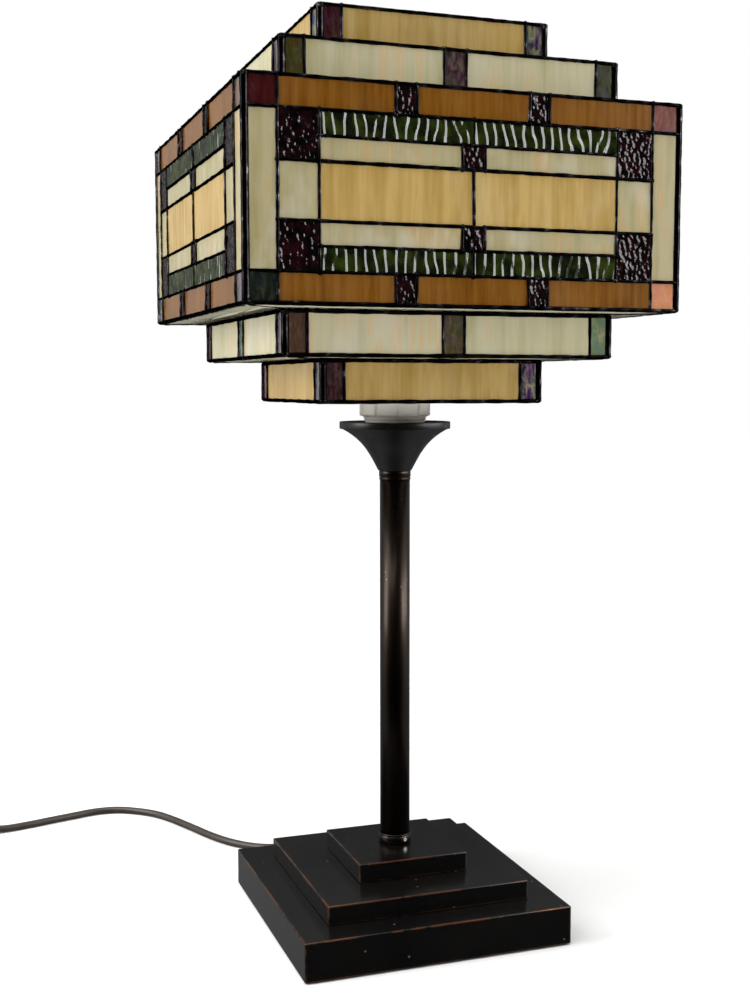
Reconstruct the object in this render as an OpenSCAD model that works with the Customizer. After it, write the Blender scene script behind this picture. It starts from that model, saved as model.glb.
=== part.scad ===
// Stepped square table lamp: a leaded glass shade in five tiers, carried by a
// turned lampholder, a flared cup, a slim stem and a three-step square base.
// Front of the lamp faces -Y, the origin is the middle of the base's underside.

/* [Base] */
// Side of the bottom step
base_w = 178; // [160:1:200]
// Side of the middle step
mid_step_w = 136; // [120:1:150]
// Side of the top step
top_step_w = 75; // [60:1:90]
// Height of the bottom step's upper face above the table
base_h = 26; // [24:1:30]
// Thickness of the middle and of the top step
step_h = 12.5; // [10:0.5:16]
// Wall of the hollow bottom step
base_wall = 5; // [4:0.5:8]
// Wall of the two hollow upper steps
step_wall = 3; // [2:0.5:4]

/* [Stem] */
// Outer radius of the stem tube
stem_r = 10; // [9.5:0.25:11]
// Height at which the stem ends and the neck collar starts
stem_top = 297.5; // [280:0.5:320]
// Outer radius of the threaded rod inside the stem
rod_r = 4.8; // [4.5:0.1:5]

/* [Cup and lampholder] */
// Radius of the cup's rim
cup_r = 36.6; // [34:0.1:38]
// Height of the cup's rim above the table
cup_top = 335.9; // [333:0.1:336.5]
// Radius of the ribbed shoulder under the shade
shoulder_r = 23.3; // [22:0.1:25]
// Height of the shoulder's seat, where the shade rests
seat_z = 350; // [349:0.5:351]
// Radius of the threaded skirt that the shade drops over
skirt_r = 19.95; // [19:0.05:20]

/* [Shade] */
// Half width of the widest tier
main_a = 133; // [130:0.5:136]
// Half width of the second tier from the top
upper_a = 105; // [102:0.5:108]
// Half width of the top tier
crown_a = 73.5; // [70:0.5:76]
// Half width of the second tier from the bottom
lower_a = 104; // [102:0.5:108]
// Half width of the bottom tier
hem_a = 72.5; // [70:0.5:76]
// Height of the shade's lower edge above the table
shade_z = 348.5; // [348:0.25:349]
// Height of each of the two lower tiers
low_h = 27; // [25:0.5:29]
// Height of the widest tier
main_h = 122; // [118:0.5:126]
// Height of each of the two upper tiers
up_h = 27.5; // [25:0.5:29]

/* [Glass and solder] */
// Thickness of the glass
glass_t = 3; // [2.5:0.1:3.2]
// Thickness of the soldered lattice that holds the glass
came_t = 5.4; // [5:0.1:6]
// Width of a solder line
came_w = 2.6; // [2:0.1:3.5]
// Radius of the round solder bead on each upright corner
bead_r = 2.9; // [2.7:0.1:3]

/* [Cord] */
// Diameter of the cord
cord_d = 5.5; // [5.5:0.1:5.6]
// Free gap between parts that move against each other
gap = 0.35; // [0.3:0.01:0.4]

/* [Hidden] */
$fn = 96;
eps = 0.1;

// heights of the five tiers, from the hem up
lower_z = shade_z + low_h;
main_z = lower_z + low_h;
upper_z = main_z + main_h;
crown_z = upper_z + up_h;
shade_top = crown_z + up_h;
// [half width, lower edge, height] of each tier
TIERS = [
    [hem_a, shade_z, low_h],
    [lower_a, lower_z, low_h],
    [main_a, main_z, main_h],
    [upper_a, upper_z, up_h],
    [crown_a, crown_z, up_h]
];

// solder lines of a main wall, measured from its middle and its lower edge
outer_x = 113.2;
second_x = 90;
block_in_x = 34;
block_out_x = 46.3;
key_x = 6.8;
band_z = 18;
ripple_z = 32;
honey_z = 45.3;
// solder lines of the narrow tiers
corner_strip = 15;
centre_strip = 6.8;

base_top = base_h + 2 * step_h;
felt_t = 1.2;
cover_t = 3;
top_plate_t = 4;
boss_off = 72;

// stem and cup heights
neck_top = stem_top + 6;
neck_r = 11;
foot_h = 7;
cup_floor = neck_top + 5.5;
rim_h = 4.7;
cup_wall = 1.8;

// lampholder and bulb heights
shoulder_z = 339.5;
grip_turn = 21.6;
skirt_top = 372;
spider_z = seat_z + gap;
spider_t = 2;
ring_z = spider_z + spider_t + gap;
ring_h = 8.5;
bulb_z = 348;
bulb_cap_h = 25;
bulb_r = 17.5;
bulb_top = 446;

// cord: exit, switch, coil and plug, all on the table
cord_r = cord_d / 2;
exit_x = -40;
exit_z = 12;
grommet_l = 24;
switch_x = -330;
switch_l = 62;
switch_w = 21;
switch_h = 17;
switch_mid_z = 8;
coil_x = -372;
coil_y = 220.25;
coil_mid_r = 33;
coil_lift = 1;
lane_y = coil_y + coil_mid_r + 1.5 * cord_d;
tail_y = coil_y - coil_mid_r - 6.75;
plug_x = -322;
plug_l = 36;
plug_w = 36;
plug_h = 14;
pin_l = 19;
pin_gap = 18.6;
plug_mid_z = plug_h / 2;
rocker_w = 10;
rocker_l = 22;
rocker_z = 12.6;
switch_cx = switch_x + switch_l / 2;

// free run of the cord from the back wall of the base to the switch
LEAD = [
    [-40, 84, 12], [-40, 100, 12], [-40, 114, 12], [-41, 124, 10.5], [-45, 135, 7],
    [-53, 146, 4], [-65, 158, 2.8], [-78, 174, 2.8], [-88, 193, 2.8],
    [-98, 217, 2.8], [-109, 242, 2.8], [-120, 261, 2.8], [-135, 275, 2.8],
    [-150, 283, 2.8], [-167, 284, 2.8], [-185, 279, 2.8], [-205, 273, 2.8],
    [-225, 267, 2.8], [-242, 263, 3.2], [-256, 261.5, 5.5], [-268, 261.5, 8]
];
// short run from the switch into the coil
LINK = [
    [-330, 261.5, 8], [-340, 261.5, 6.5], [-350, 261.5, 4.6], [-360, 261.5, 3.8]
];
// last run from the coil to the plug
TAIL = [
    [-360, 180.5, 9.2], [-347, 180.5, 8.2], [-334, 180.5, 7], [-322, 180.5, 7]
];
// lead inside the lamp, from the back wall up the threaded rod
INNER = [
    [-40, 84, 12], [-40, 74, 12], [-40, 62, 11], [-40, 45, 10.5], [-40, 22, 10.5],
    [-40, 8, 10.5], [-38.5, 2.5, 10], [-33, 0, 9.5], [-24, 0, 8.5], [-16, 0, 8],
    [-9, 0, 8], [-4, 0, 8.8], [-1, 0, 11], [0, 0, 14.5], [0, 0, 20], [0, 0, 60],
    [0, 0, 120], [0, 0, 180], [0, 0, 240], [0, 0, 300], [0, 0, 330]
];

// ---------- shared shapes ----------

// Upright square block standing on z
module slab(w, z, h) { translate([-w / 2, -w / 2, z]) cube([w, w, h]); }

// Upright round bar or disc standing on z
module disc(r, z, h) { translate([0, 0, z]) cylinder(r = r, h = h); }

// Four copies turned about the lamp's axis
module four_sides() { for (k = [0:3]) rotate([0, 0, 90 * k]) children(); }

// Points of a smooth curve through a list, by the Catmull-Rom rule
function curve_point(p, i, t) =
    let (n = len(p), a = p[max(i - 1, 0)], b = p[i], c = p[i + 1], d = p[min(i + 2, n - 1)])
    0.5 * (2 * b + (c - a) * t + (2 * a - 5 * b + 4 * c - d) * t * t
        + (3 * b - 3 * c + d - a) * t * t * t);

function unit(v) = v / norm(v);
function heading(p, i) = unit(p[min(i + 1, len(p) - 1)] - p[max(i - 1, 0)]);
// A steady sideways direction, across the cord and level where it can be
function side_of(h) = abs(h[2]) > 0.95 ? [0, 1, 0] : unit(cross(h, [0, 0, 1]));

// Ring of corners round point i of a route
function cord_ring(p, i, r, n) =
    let (h = heading(p, i), s = unit(cross(cross(h, side_of(h)), h)), u = cross(s, h))
    [for (k = [0:n - 1]) p[i] + r * (cos(360 * k / n) * s + sin(360 * k / n) * u)];

// Tube of n sides along a route, closed at both ends
module swept_tube(p, r, n = 8) {
    m = len(p);
    corners = [for (i = [0:m - 1]) each cord_ring(p, i, r, n)];
    sides = [for (i = [0:m - 2]) for (k = [0:n - 1])
        let (a = i * n + k, b = i * n + (k + 1) % n) each [[a, b, b + n], [a, b + n, a + n]]];
    first = [[for (k = [0:n - 1]) n - 1 - k]];
    last = [[for (k = [0:n - 1]) (m - 1) * n + k]];
    polyhedron(points = corners, faces = concat(sides, first, last), convexity = 6);
}

// ---------- base ----------

module base_tier_bottom() {
    color([0.06, 0.06, 0.06]) {
        difference() {
            slab(base_w, felt_t - 0.2, base_h - felt_t + 0.2);
            slab(base_w - 2 * base_wall, 0, base_h - top_plate_t);
            disc(rod_r + 0.4, 0, base_h + 1);
            translate([exit_x, base_w / 2 - base_wall - 1, exit_z])
                rotate([-90, 0, 0]) cylinder(r = 5.2, h = base_wall + 2);
        }
        for (x = [-1, 1], y = [-1, 1]) translate([x * boss_off, y * boss_off, 0])
            difference() {
                disc(5, felt_t + cover_t, base_h - top_plate_t - felt_t - cover_t + eps);
                disc(1.6, felt_t, 12);
            }
    }
}

// One of the two upper steps: hollow, and drilled for the threaded rod
module hollow_step(w, z) {
    color([0.07, 0.065, 0.06]) difference() {
        slab(w, z, step_h);
        slab(w - 2 * step_wall, z - 1, step_h - step_wall + 1);
        disc(rod_r + 0.4, z - 1, step_h + 2);
    }
}
module base_tier_middle() { hollow_step(mid_step_w, base_h); }
module base_tier_top() { hollow_step(top_step_w, base_h + step_h); }

// Cast iron weight with a channel for the lead
module base_ballast() {
    color([0.2, 0.2, 0.21]) difference() {
        slab(130, 7, base_h - top_plate_t - 7.5);
        disc(20, 6, base_h);
        translate([exit_x - 6, -6, 6]) cube([12, 80, base_h]);
        translate([exit_x - 6, -6, 6]) cube([-exit_x + 6, 12, base_h]);
    }
}

module base_cover() {
    color([0.25, 0.18, 0.12]) difference() {
        slab(base_w - 2 * base_wall - 0.4, felt_t, cover_t);
        for (x = [-1, 1], y = [-1, 1]) translate([x * boss_off, y * boss_off, 0]) {
            disc(1.8, 0, 6);
            disc(3.4, 0, felt_t + 1.6);
        }
    }
}

module base_felt() { color([0.1, 0.22, 0.14]) slab(base_w - 4, 0, felt_t - 0.2); }

module base_screws() {
    color([0.6, 0.6, 0.58]) for (x = [-1, 1], y = [-1, 1])
        translate([x * boss_off, y * boss_off, 0]) {
            disc(3.2, felt_t, 1.5);
            disc(1.5, felt_t + 1, 9);
        }
}

// ---------- stem ----------

module stem_tube() {
    color([0.2, 0.13, 0.12]) difference() {
        disc(stem_r, base_top, stem_top - base_top);
        disc(stem_r - 1.5, base_top - 1, stem_top - base_top + 2);
    }
}

// Foot ring that grips the stem with a grub screw
module stem_foot_collar() {
    color([0.08, 0.07, 0.07]) difference() {
        disc(stem_r + 0.8, base_top, foot_h);
        disc(stem_r + 0.05, base_top - 1, 13);
        rotate([0, 0, -70]) translate([stem_r - 1, 0, base_top + 3.4])
            rotate([0, 90, 0]) cylinder(r = 1.3, h = 4);
    }
}

module foot_grub_screw() {
    color([0.75, 0.75, 0.72]) rotate([0, 0, -70])
        translate([stem_r + 0.1, 0, base_top + 3.4]) rotate([0, 90, 0]) difference() {
            cylinder(r = 1.2, h = 0.9);
            translate([0, 0, 0.4]) cylinder(r = 0.6, h = 1, $fn = 6);
        }
}

module stem_neck_collar() {
    color([0.16, 0.11, 0.1]) difference() {
        disc(stem_r + 0.5, stem_top, neck_top - stem_top);
        disc(rod_r + 0.2, stem_top - 1, 9);
        difference() {
            disc(stem_r + 2, stem_top + 1.2, 0.8);
            disc(stem_r, stem_top + 1, 1.2);
        }
    }
}

module threaded_rod() {
    color([0.72, 0.64, 0.4]) difference() {
        disc(rod_r, 15.5, 324 - 15.5);
        disc(3.3, 14, 320);
    }
}

module rod_washer() {
    color([0.7, 0.7, 0.68]) difference() {
        disc(14, base_h - top_plate_t - 1.6, 1.5);
        disc(rod_r + 0.3, 0, base_h);
    }
}

module rod_nut() {
    color([0.7, 0.62, 0.4]) difference() {
        translate([0, 0, base_h - top_plate_t - 6.7]) cylinder(r = 9.8, h = 5, $fn = 6);
        disc(rod_r + 0.1, 0, base_h);
    }
}

// ---------- cup and lampholder ----------

// Radius of the cup's flare at a height given as a fraction of the flare
function flare(t) = neck_r + (cup_r - 1.4 - neck_r) * (0.6 * t + 0.4 * pow(t, 4));

module flared_cup() {
    flare_h = cup_top - rim_h - neck_top;
    steps = 14;
    outside = [for (i = [0:steps]) [flare(i / steps), neck_top + flare_h * i / steps]];
    inside = [for (i = [steps:-1:4])
        [flare(i / steps) - cup_wall, neck_top + flare_h * i / steps + 0.4]];
    profile = concat([[rod_r + 0.3, neck_top]], outside,
        [[cup_r, cup_top - rim_h], [cup_r, cup_top], [cup_r - 1.6, cup_top],
         [cup_r - 1.9, cup_top - rim_h + 0.5]],
        inside, [[11.8, cup_floor], [rod_r + 0.3, cup_floor]]);
    color([0.07, 0.06, 0.06]) rotate_extrude() polygon(profile);
}

module cup_locknut() {
    color([0.7, 0.62, 0.4]) difference() {
        translate([0, 0, cup_floor + eps]) cylinder(r = 9.6, h = 4, $fn = 6);
        disc(rod_r + 0.1, cup_floor - 1, 8);
    }
}

// Lower cap of the lampholder, screwed on the threaded rod
module holder_dome() {
    color([0.9, 0.89, 0.85]) rotate_extrude() polygon([
        [rod_r + 0.1, 316], [7.5, 316], [7.8, 323], [12, 325.5], [16, 329.5],
        [18.6, 335], [20.4, 337.3], [21, 339], [21, shoulder_z - eps], [18.4, shoulder_z - eps],
        [17, 335.6], [14.4, 331], [11, 327.6], [rod_r + 0.1, 326]
    ]);
}

// Outer shell: a ribbed shoulder with a threaded skirt above it
module holder_shell() {
    color([0.93, 0.92, 0.89]) difference() {
        union() {
            disc(shoulder_r - 0.9, shoulder_z, seat_z - shoulder_z);
            disc(skirt_r - 0.5, seat_z - eps, skirt_top - seat_z);
            for (z = [seat_z + 2.5:2.5:skirt_top - 2]) disc(skirt_r, z, 1.2);
            for (k = [0:9]) rotate([0, 0, grip_turn + 36 * k]) intersection() {
                disc(shoulder_r, shoulder_z + 0.6, seat_z - shoulder_z - 1.6);
                translate([0, -6.2, 0]) cube([40, 12.4, 400]);
            }
        }
        disc(16.8, shoulder_z - 1, 60);
    }
}

// Moulded block inside the shell that carries the contacts
module holder_insert() {
    color([0.85, 0.84, 0.8]) difference() {
        disc(16.6, shoulder_z + 0.3, 29);
        disc(13.9, bulb_z - 1.2, 40);
        disc(3.4, shoulder_z - 1, 20);
    }
}

module holder_screw_shell() {
    color([0.8, 0.72, 0.45]) difference() {
        disc(13.8, bulb_z - 1.1, 20);
        disc(13.3, bulb_z - 2, 24);
    }
}

module centre_contact() {
    color([0.8, 0.7, 0.4]) {
        translate([-4, -1.5, bulb_z - 1.1]) cube([8, 3, 0.5]);
        translate([2.3, -1.5, bulb_z - 6]) cube([0.5, 3, 5.2]);
    }
}

module inner_flex() { color([0.12, 0.11, 0.1]) swept_tube(INNER, 2.7); }

// ---------- fitter ring and spider ----------

// Ring nut that clamps the shade's spider on the shoulder
module shade_ring() {
    color([0.93, 0.92, 0.89]) difference() {
        union() {
            disc(25.2, ring_z, ring_h);
            for (k = [0:17]) rotate([0, 0, 20 * k]) intersection() {
                disc(26.4, ring_z, ring_h - 1);
                translate([0, -2.3, 0]) cube([40, 4.6, 500]);
            }
        }
        disc(skirt_r + 0.45, ring_z - 1, ring_h + 2);
    }
}

// Brass spider: hub, four arms and four tabs soldered to the hem
module shade_spider() {
    reach = hem_a - came_t - 0.1;
    color([0.72, 0.58, 0.3]) difference() {
        union() {
            disc(27.5, spider_z, spider_t);
            four_sides() translate([20.6, -4, spider_z]) cube([reach - 20.6, 8, spider_t]);
            four_sides() translate([reach - 1.6, -4, spider_z]) cube([1.6, 8, 14]);
        }
        disc(skirt_r + 0.65, spider_z - 1, spider_t + 2);
    }
}

// ---------- shade ----------

// Lines that divide a main wall: each pane is [x from, x to, z from, z to]
function mirrored(list) = concat(list, [for (p = list) [-p[1], -p[0], p[2], p[3]]]);
function end_x(a) = a - 2 * bead_r + came_w / 2 + 0.1;
main_end = end_x(main_a);

function main_honey() = mirrored([[0, second_x, honey_z, main_h - honey_z]]);
function main_cream() = mirrored([
    [outer_x, main_end, band_z, main_h - band_z],
    [second_x, outer_x, honey_z, main_h - honey_z],
    [key_x, second_x, ripple_z, honey_z],
    [key_x, second_x, main_h - honey_z, main_h - ripple_z]
]);
function main_ripple() = mirrored([
    [0, second_x, band_z, ripple_z],
    [0, second_x, main_h - ripple_z, main_h - band_z]
]);
function main_amber() = concat(
    mirrored([
        [block_out_x, outer_x, 0, band_z],
        [block_out_x, outer_x, main_h - band_z, main_h]
    ]),
    [[-block_in_x, block_in_x, 0, band_z],
     [-block_in_x, block_in_x, main_h - band_z, main_h]]);
function main_hammered() = concat(
    mirrored([
        [block_in_x, block_out_x, 0, band_z],
        [block_in_x, block_out_x, main_h - band_z, main_h],
        [second_x, outer_x, band_z, honey_z],
        [second_x, outer_x, main_h - honey_z, main_h - band_z]
    ]),
    [[-key_x, key_x, ripple_z, honey_z],
     [-key_x, key_x, main_h - honey_z, main_h - ripple_z]]);
function main_accent() = mirrored([
    [outer_x, main_end, 0, band_z],
    [outer_x, main_end, main_h - band_z, main_h]
]);

// Narrow tiers: coloured strips at the corners, and in the middle of the wide ones
function strip_x(a) = a - corner_strip;
function tier_cream(a, h) = mirrored([[centre_strip, strip_x(a), 0, h]]);
function tier_accent(a, h) = concat(mirrored([[strip_x(a), end_x(a), 0, h]]),
    [[-centre_strip, centre_strip, 0, h]]);
function tier_ends(a, h) = mirrored([[strip_x(a), end_x(a), 0, h]]);
function tier_honey(a, h) = [[-strip_x(a), strip_x(a), 0, h]];

function all_main() = concat(main_honey(), main_cream(), main_ripple(), main_amber(),
    main_hammered(), main_accent());

// Flat outline of one pane, set back from its solder lines by a margin
module pane(p, h, m) {
    lo = p[2] == 0 ? came_w + m : p[2] + came_w / 2 + m;
    hi = p[3] == h ? h - came_w - m : p[3] - came_w / 2 - m;
    x0 = p[0] + came_w / 2 + m;
    translate([x0, lo]) square([p[1] - p[0] - came_w - 2 * m, hi - lo]);
}

// A wall's outline stood up on the four sides of a tier, from depth d0 inwards
module stand_up(tier, d0, t) {
    four_sides() translate([0, -tier[0] + d0 + t, tier[1]])
        rotate([90, 0, 0]) linear_extrude(t) children();
}

// Solder lattice of a tier: four flat walls with a window for each pane
module came_walls(tier, panes) {
    end = tier[0] - 2 * bead_r;
    color([0.08, 0.08, 0.08]) stand_up(tier, 0, came_t) difference() {
        translate([-end, 0]) square([2 * end, tier[2]]);
        for (p = panes) pane(p, tier[2], 0);
    }
}

// Glass of one kind on the four walls of a tier
module panes_of(tier, panes) {
    stand_up(tier, (came_t - glass_t) / 2, glass_t)
        for (p = panes) pane(p, tier[2], 0.1);
}

module came_hem() {
    t = TIERS[0];
    came_walls(t, concat(tier_ends(t[0], t[2]), tier_honey(t[0], t[2])));
}
module came_lower() {
    t = TIERS[1];
    came_walls(t, concat(tier_cream(t[0], t[2]), tier_accent(t[0], t[2])));
}
module came_main() { came_walls(TIERS[2], all_main()); }
module came_upper() {
    t = TIERS[3];
    came_walls(t, concat(tier_cream(t[0], t[2]), tier_accent(t[0], t[2])));
}
module came_crown() {
    t = TIERS[4];
    came_walls(t, concat(tier_ends(t[0], t[2]), tier_honey(t[0], t[2])));
}

module corner_beads() {
    color([0.09, 0.09, 0.09]) for (t = TIERS) four_sides()
        translate([-t[0] + bead_r, -t[0] + bead_r, t[1] + eps])
            cylinder(r = bead_r - 0.05, h = t[2] - 2 * eps, $fn = 32);
}

// A ledge joins two tiers: its outer edge meets the wide one, the narrow one stands on it
module ledge(wide_a, narrow_a, z) {
    o = wide_a - came_t - 0.2;
    i = narrow_a - came_t;
    m = 1.6;
    color([0.85, 0.84, 0.78]) four_sides() translate([0, 0, z]) linear_extrude(glass_t)
        polygon([[-o + m, -o], [o - m, -o], [i - m, -i], [-i + m, -i]]);
}
module ledge_hem() { ledge(lower_a, hem_a, lower_z + eps); }
module ledge_lower() { ledge(main_a, lower_a, main_z + eps); }
module ledge_upper() { ledge(main_a, upper_a, upper_z - glass_t - eps); }
module ledge_crown() { ledge(upper_a, crown_a, crown_z - glass_t - eps); }

// Mitre solder lines at the corners of the four ledges
module ledge_beads() {
    color([0.09, 0.09, 0.09])
        for (l = [[lower_a, hem_a, lower_z + eps], [main_a, lower_a, main_z + eps],
                  [main_a, upper_a, upper_z - glass_t - eps],
                  [upper_a, crown_a, crown_z - glass_t - eps]])
            four_sides() {
                o = l[0] - came_t - 0.3;
                i = l[1] - came_t;
                rotate([0, 0, 45]) translate([-o * sqrt(2) + 1.1, -1, l[2]])
                    cube([(o - i) * sqrt(2) - 1.2, 2, glass_t]);
            }
}

module glass_honey() {
    color([0.66, 0.55, 0.31]) {
        panes_of(TIERS[2], main_honey());
        for (t = [TIERS[0], TIERS[4]]) panes_of(t, tier_honey(t[0], t[2]));
    }
}
module glass_cream_main() { color([0.76, 0.72, 0.58]) panes_of(TIERS[2], main_cream()); }
module glass_cream_tiers() {
    color([0.76, 0.72, 0.58]) for (t = [TIERS[1], TIERS[3]])
        panes_of(t, tier_cream(t[0], t[2]));
}
module glass_amber() { color([0.48, 0.31, 0.11]) panes_of(TIERS[2], main_amber()); }
module glass_ripple() { color([0.2, 0.23, 0.1]) panes_of(TIERS[2], main_ripple()); }
module glass_hammered() { color([0.16, 0.1, 0.13]) panes_of(TIERS[2], main_hammered()); }
module glass_accent_main() { color([0.4, 0.16, 0.14]) panes_of(TIERS[2], main_accent()); }
module glass_accent_tiers() {
    color([0.25, 0.14, 0.2]) {
        for (t = [TIERS[1], TIERS[3]]) panes_of(t, tier_accent(t[0], t[2]));
        for (t = [TIERS[0], TIERS[4]]) panes_of(t, tier_ends(t[0], t[2]));
    }
}

// ---------- bulb ----------

// Candle-shaped envelope, a closed thin shell open only at the cap
module bulb_glass() {
    z0 = bulb_z + bulb_cap_h + 0.1;
    h = bulb_top - z0;
    steps = 20;
    outer = [for (i = [0:steps]) let (t = i / steps)
        [12.2 * (1 - t) + (bulb_r - 8) * sin(180 * pow(t, 0.8)), z0 + h * t]];
    inner = [for (i = [steps - 1:-1:0]) [max(outer[i][0] - 1, 0), outer[i][1]]];
    color([0.95, 0.95, 0.9, 0.5]) rotate_extrude()
        polygon(concat([for (p = outer) [max(p[0], 0), p[1]]], [[0, bulb_top - 1.5]], inner));
}

module bulb_cap() {
    color([0.8, 0.8, 0.8]) union() {
        disc(12.2, bulb_z + 5, bulb_cap_h - 5);
        for (z = [bulb_z + 6:3.6:bulb_z + 18]) disc(12.9, z, 1.6);
        translate([0, 0, bulb_z + 1.6]) cylinder(r1 = 6, r2 = 12.2, h = 3.5);
    }
}

module bulb_contact() { color([0.75, 0.72, 0.6]) disc(4.8, bulb_z + 0.2, 1.3); }

// Four light-emitting sticks on a central glass stalk
module led_filaments() {
    color([0.95, 0.8, 0.35]) union() {
        disc(3, bulb_z + bulb_cap_h + 0.2, 12);
        disc(5, bulb_z + bulb_cap_h + 10, 1.5);
        four_sides() translate([4, 0, bulb_z + bulb_cap_h + 11]) cylinder(r = 0.8, h = 34, $fn = 16);
        disc(5, bulb_z + bulb_cap_h + 44.5, 1);
    }
}

// ---------- cord, switch and plug ----------

// Tapered sleeve where the cord leaves the back wall
module cord_grommet() {
    wall_y = base_w / 2;
    color([0.08, 0.08, 0.08]) translate([exit_x, wall_y, exit_z]) rotate([-90, 0, 0])
        rotate_extrude() polygon([
            [cord_r + 0.15, -base_wall - 1.5], [6.6, -base_wall - 1.5], [6.6, -base_wall - 0.1],
            [5.1, -base_wall - 0.1], [5.1, 0.1], [7, 0.1], [7, 2], [4.8, 3],
            [3.9, grommet_l - 1], [3.5, grommet_l], [cord_r + 0.15, grommet_l]
        ]);
}

module cord_lead() { color([0.2, 0.15, 0.11]) swept_tube(LEAD, cord_r); }
module cord_link() { color([0.2, 0.15, 0.11]) swept_tube(LINK, cord_r); }
module cord_tail() { color([0.2, 0.15, 0.11]) swept_tube(TAIL, cord_r); }

// Outer shape of the wound cord: two layers, four turns wide
module cord_coil() {
    half = 2 * cord_d;
    color([0.2, 0.15, 0.11]) translate([coil_x, coil_y, coil_lift])
        rotate_extrude() translate([coil_mid_r, 0]) polygon([
            [-half, 2], [-half + 2, 0], [half - 2, 0], [half, 2], [half, half - 2],
            [half - 2, half], [-half + 2, half], [-half, half - 2]
        ]);
}

// Flat strap round the coil's bundle, on its far left side
module coil_tie() {
    w = 4 * cord_d + 0.4;
    h = 2 * cord_d + 0.2;
    color([0.05, 0.05, 0.05]) translate([coil_x - coil_mid_r - w / 2, coil_y - 4, 0.1])
        difference() {
            translate([-0.8, 0, 0]) cube([w + 1.6, 8, h + 1.6]);
            translate([-0.2, -1, 0.8]) cube([w + 0.4, 10, h]);
        }
}

// Outline of the switch body: a long bar with round ends
module switch_outline(grow) {
    r = 6 + grow;
    for (x = [6, switch_l - 6], y = [-switch_w / 2 + 6, switch_w / 2 - 6])
        translate([x, y]) circle(r = r, $fn = 48);
    translate([0 - grow, -switch_w / 2 + 6]) square([switch_l + 2 * grow, switch_w - 12]);
    translate([6, -switch_w / 2 - grow]) square([switch_l - 12, switch_w + 2 * grow]);
}

module switch_bores() {
    for (x = [switch_x - 1, switch_x + switch_l - 9]) translate([x, lane_y, switch_mid_z])
        rotate([0, 90, 0]) cylinder(r = cord_r + 0.2, h = 10);
}

module switch_base() {
    color([0.09, 0.09, 0.09]) difference() {
        translate([switch_x, lane_y, 0]) linear_extrude(switch_mid_z - 0.05) switch_outline(0);
        translate([switch_x, lane_y, 2]) linear_extrude(10) switch_outline(-2);
        switch_bores();
    }
}

module switch_cover() {
    color([0.09, 0.09, 0.09]) difference() {
        translate([switch_x, lane_y, switch_mid_z + 0.05])
            linear_extrude(switch_h - switch_mid_z) switch_outline(0);
        translate([switch_x, lane_y, switch_mid_z - 1]) linear_extrude(switch_h - switch_mid_z - 1)
            switch_outline(-2);
        translate([switch_cx - rocker_l / 2 - 0.6, lane_y - rocker_w / 2 - 0.6, switch_mid_z])
            cube([rocker_l + 1.2, rocker_w + 1.2, 20]);
        switch_bores();
    }
    for (s = [-1, 1]) color([0.09, 0.09, 0.09])
        translate([switch_cx - 2.5, lane_y + s * 7 - 1, switch_mid_z + 0.05]) difference() {
            cube([5, 2, 7.6]);
            translate([2.5, -1, rocker_z - switch_mid_z - 0.05]) rotate([-90, 0, 0])
                cylinder(r = 1.3, h = 4);
        }
}

// Rocker that tips about a cross pin; it rests tipped to the off side
module switch_rocker() {
    color([0.75, 0.74, 0.7]) translate([switch_cx, lane_y, rocker_z]) rotate([0, 8, 0]) union() {
        translate([-rocker_l / 2 + 0.4, -rocker_w / 2, 1]) cube([rocker_l - 0.8, rocker_w, 4]);
        translate([-3, -rocker_w / 2, -2]) cube([6, rocker_w, 4]);
        translate([0, 7.9, 0]) rotate([90, 0, 0]) cylinder(r = 1.25, h = 15.8);
    }
}

module switch_screws() {
    color([0.7, 0.7, 0.68]) for (x = [switch_x + 14, switch_x + switch_l - 14])
        translate([x, lane_y, switch_h + 0.1]) difference() {
            cylinder(r = 2.4, h = 0.8);
            translate([-3, -0.3, 0.4]) cube([6, 0.6, 1]);
        }
}

// Flat two-pin plug lying on the table
module plug_body() {
    color([0.09, 0.09, 0.09]) difference() {
        translate([plug_x, tail_y, 0]) union() {
            translate([0, 0, plug_mid_z]) rotate([0, 90, 0]) cylinder(r1 = 4.2, r2 = 5.6, h = 12);
            linear_extrude(plug_h) polygon([
                [8, -7], [18, -plug_w / 2 + 2], [plug_l - 1.5, -plug_w / 2], [plug_l, -plug_w / 2 + 2],
                [plug_l, plug_w / 2 - 2], [plug_l - 1.5, plug_w / 2], [18, plug_w / 2 - 2], [8, 7]
            ]);
        }
        for (s = [-1, 1]) translate([plug_x + plug_l - 8, tail_y + s * pin_gap / 2, plug_mid_z])
            rotate([0, 90, 0]) cylinder(r = 1.65, h = 9);
    }
}

module plug_pins() {
    color([0.8, 0.79, 0.76]) for (s = [-1, 1])
        translate([plug_x + plug_l, tail_y + s * pin_gap / 2, plug_mid_z]) rotate([0, 90, 0]) {
            translate([0, 0, -7.5]) cylinder(r = 1.6, h = 7.7);
            translate([0, 0, 0.1]) cylinder(r = 2, h = pin_l - 1.1);
            translate([0, 0, pin_l - 1]) cylinder(r1 = 2, r2 = 1.2, h = 1);
        }
}

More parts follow.
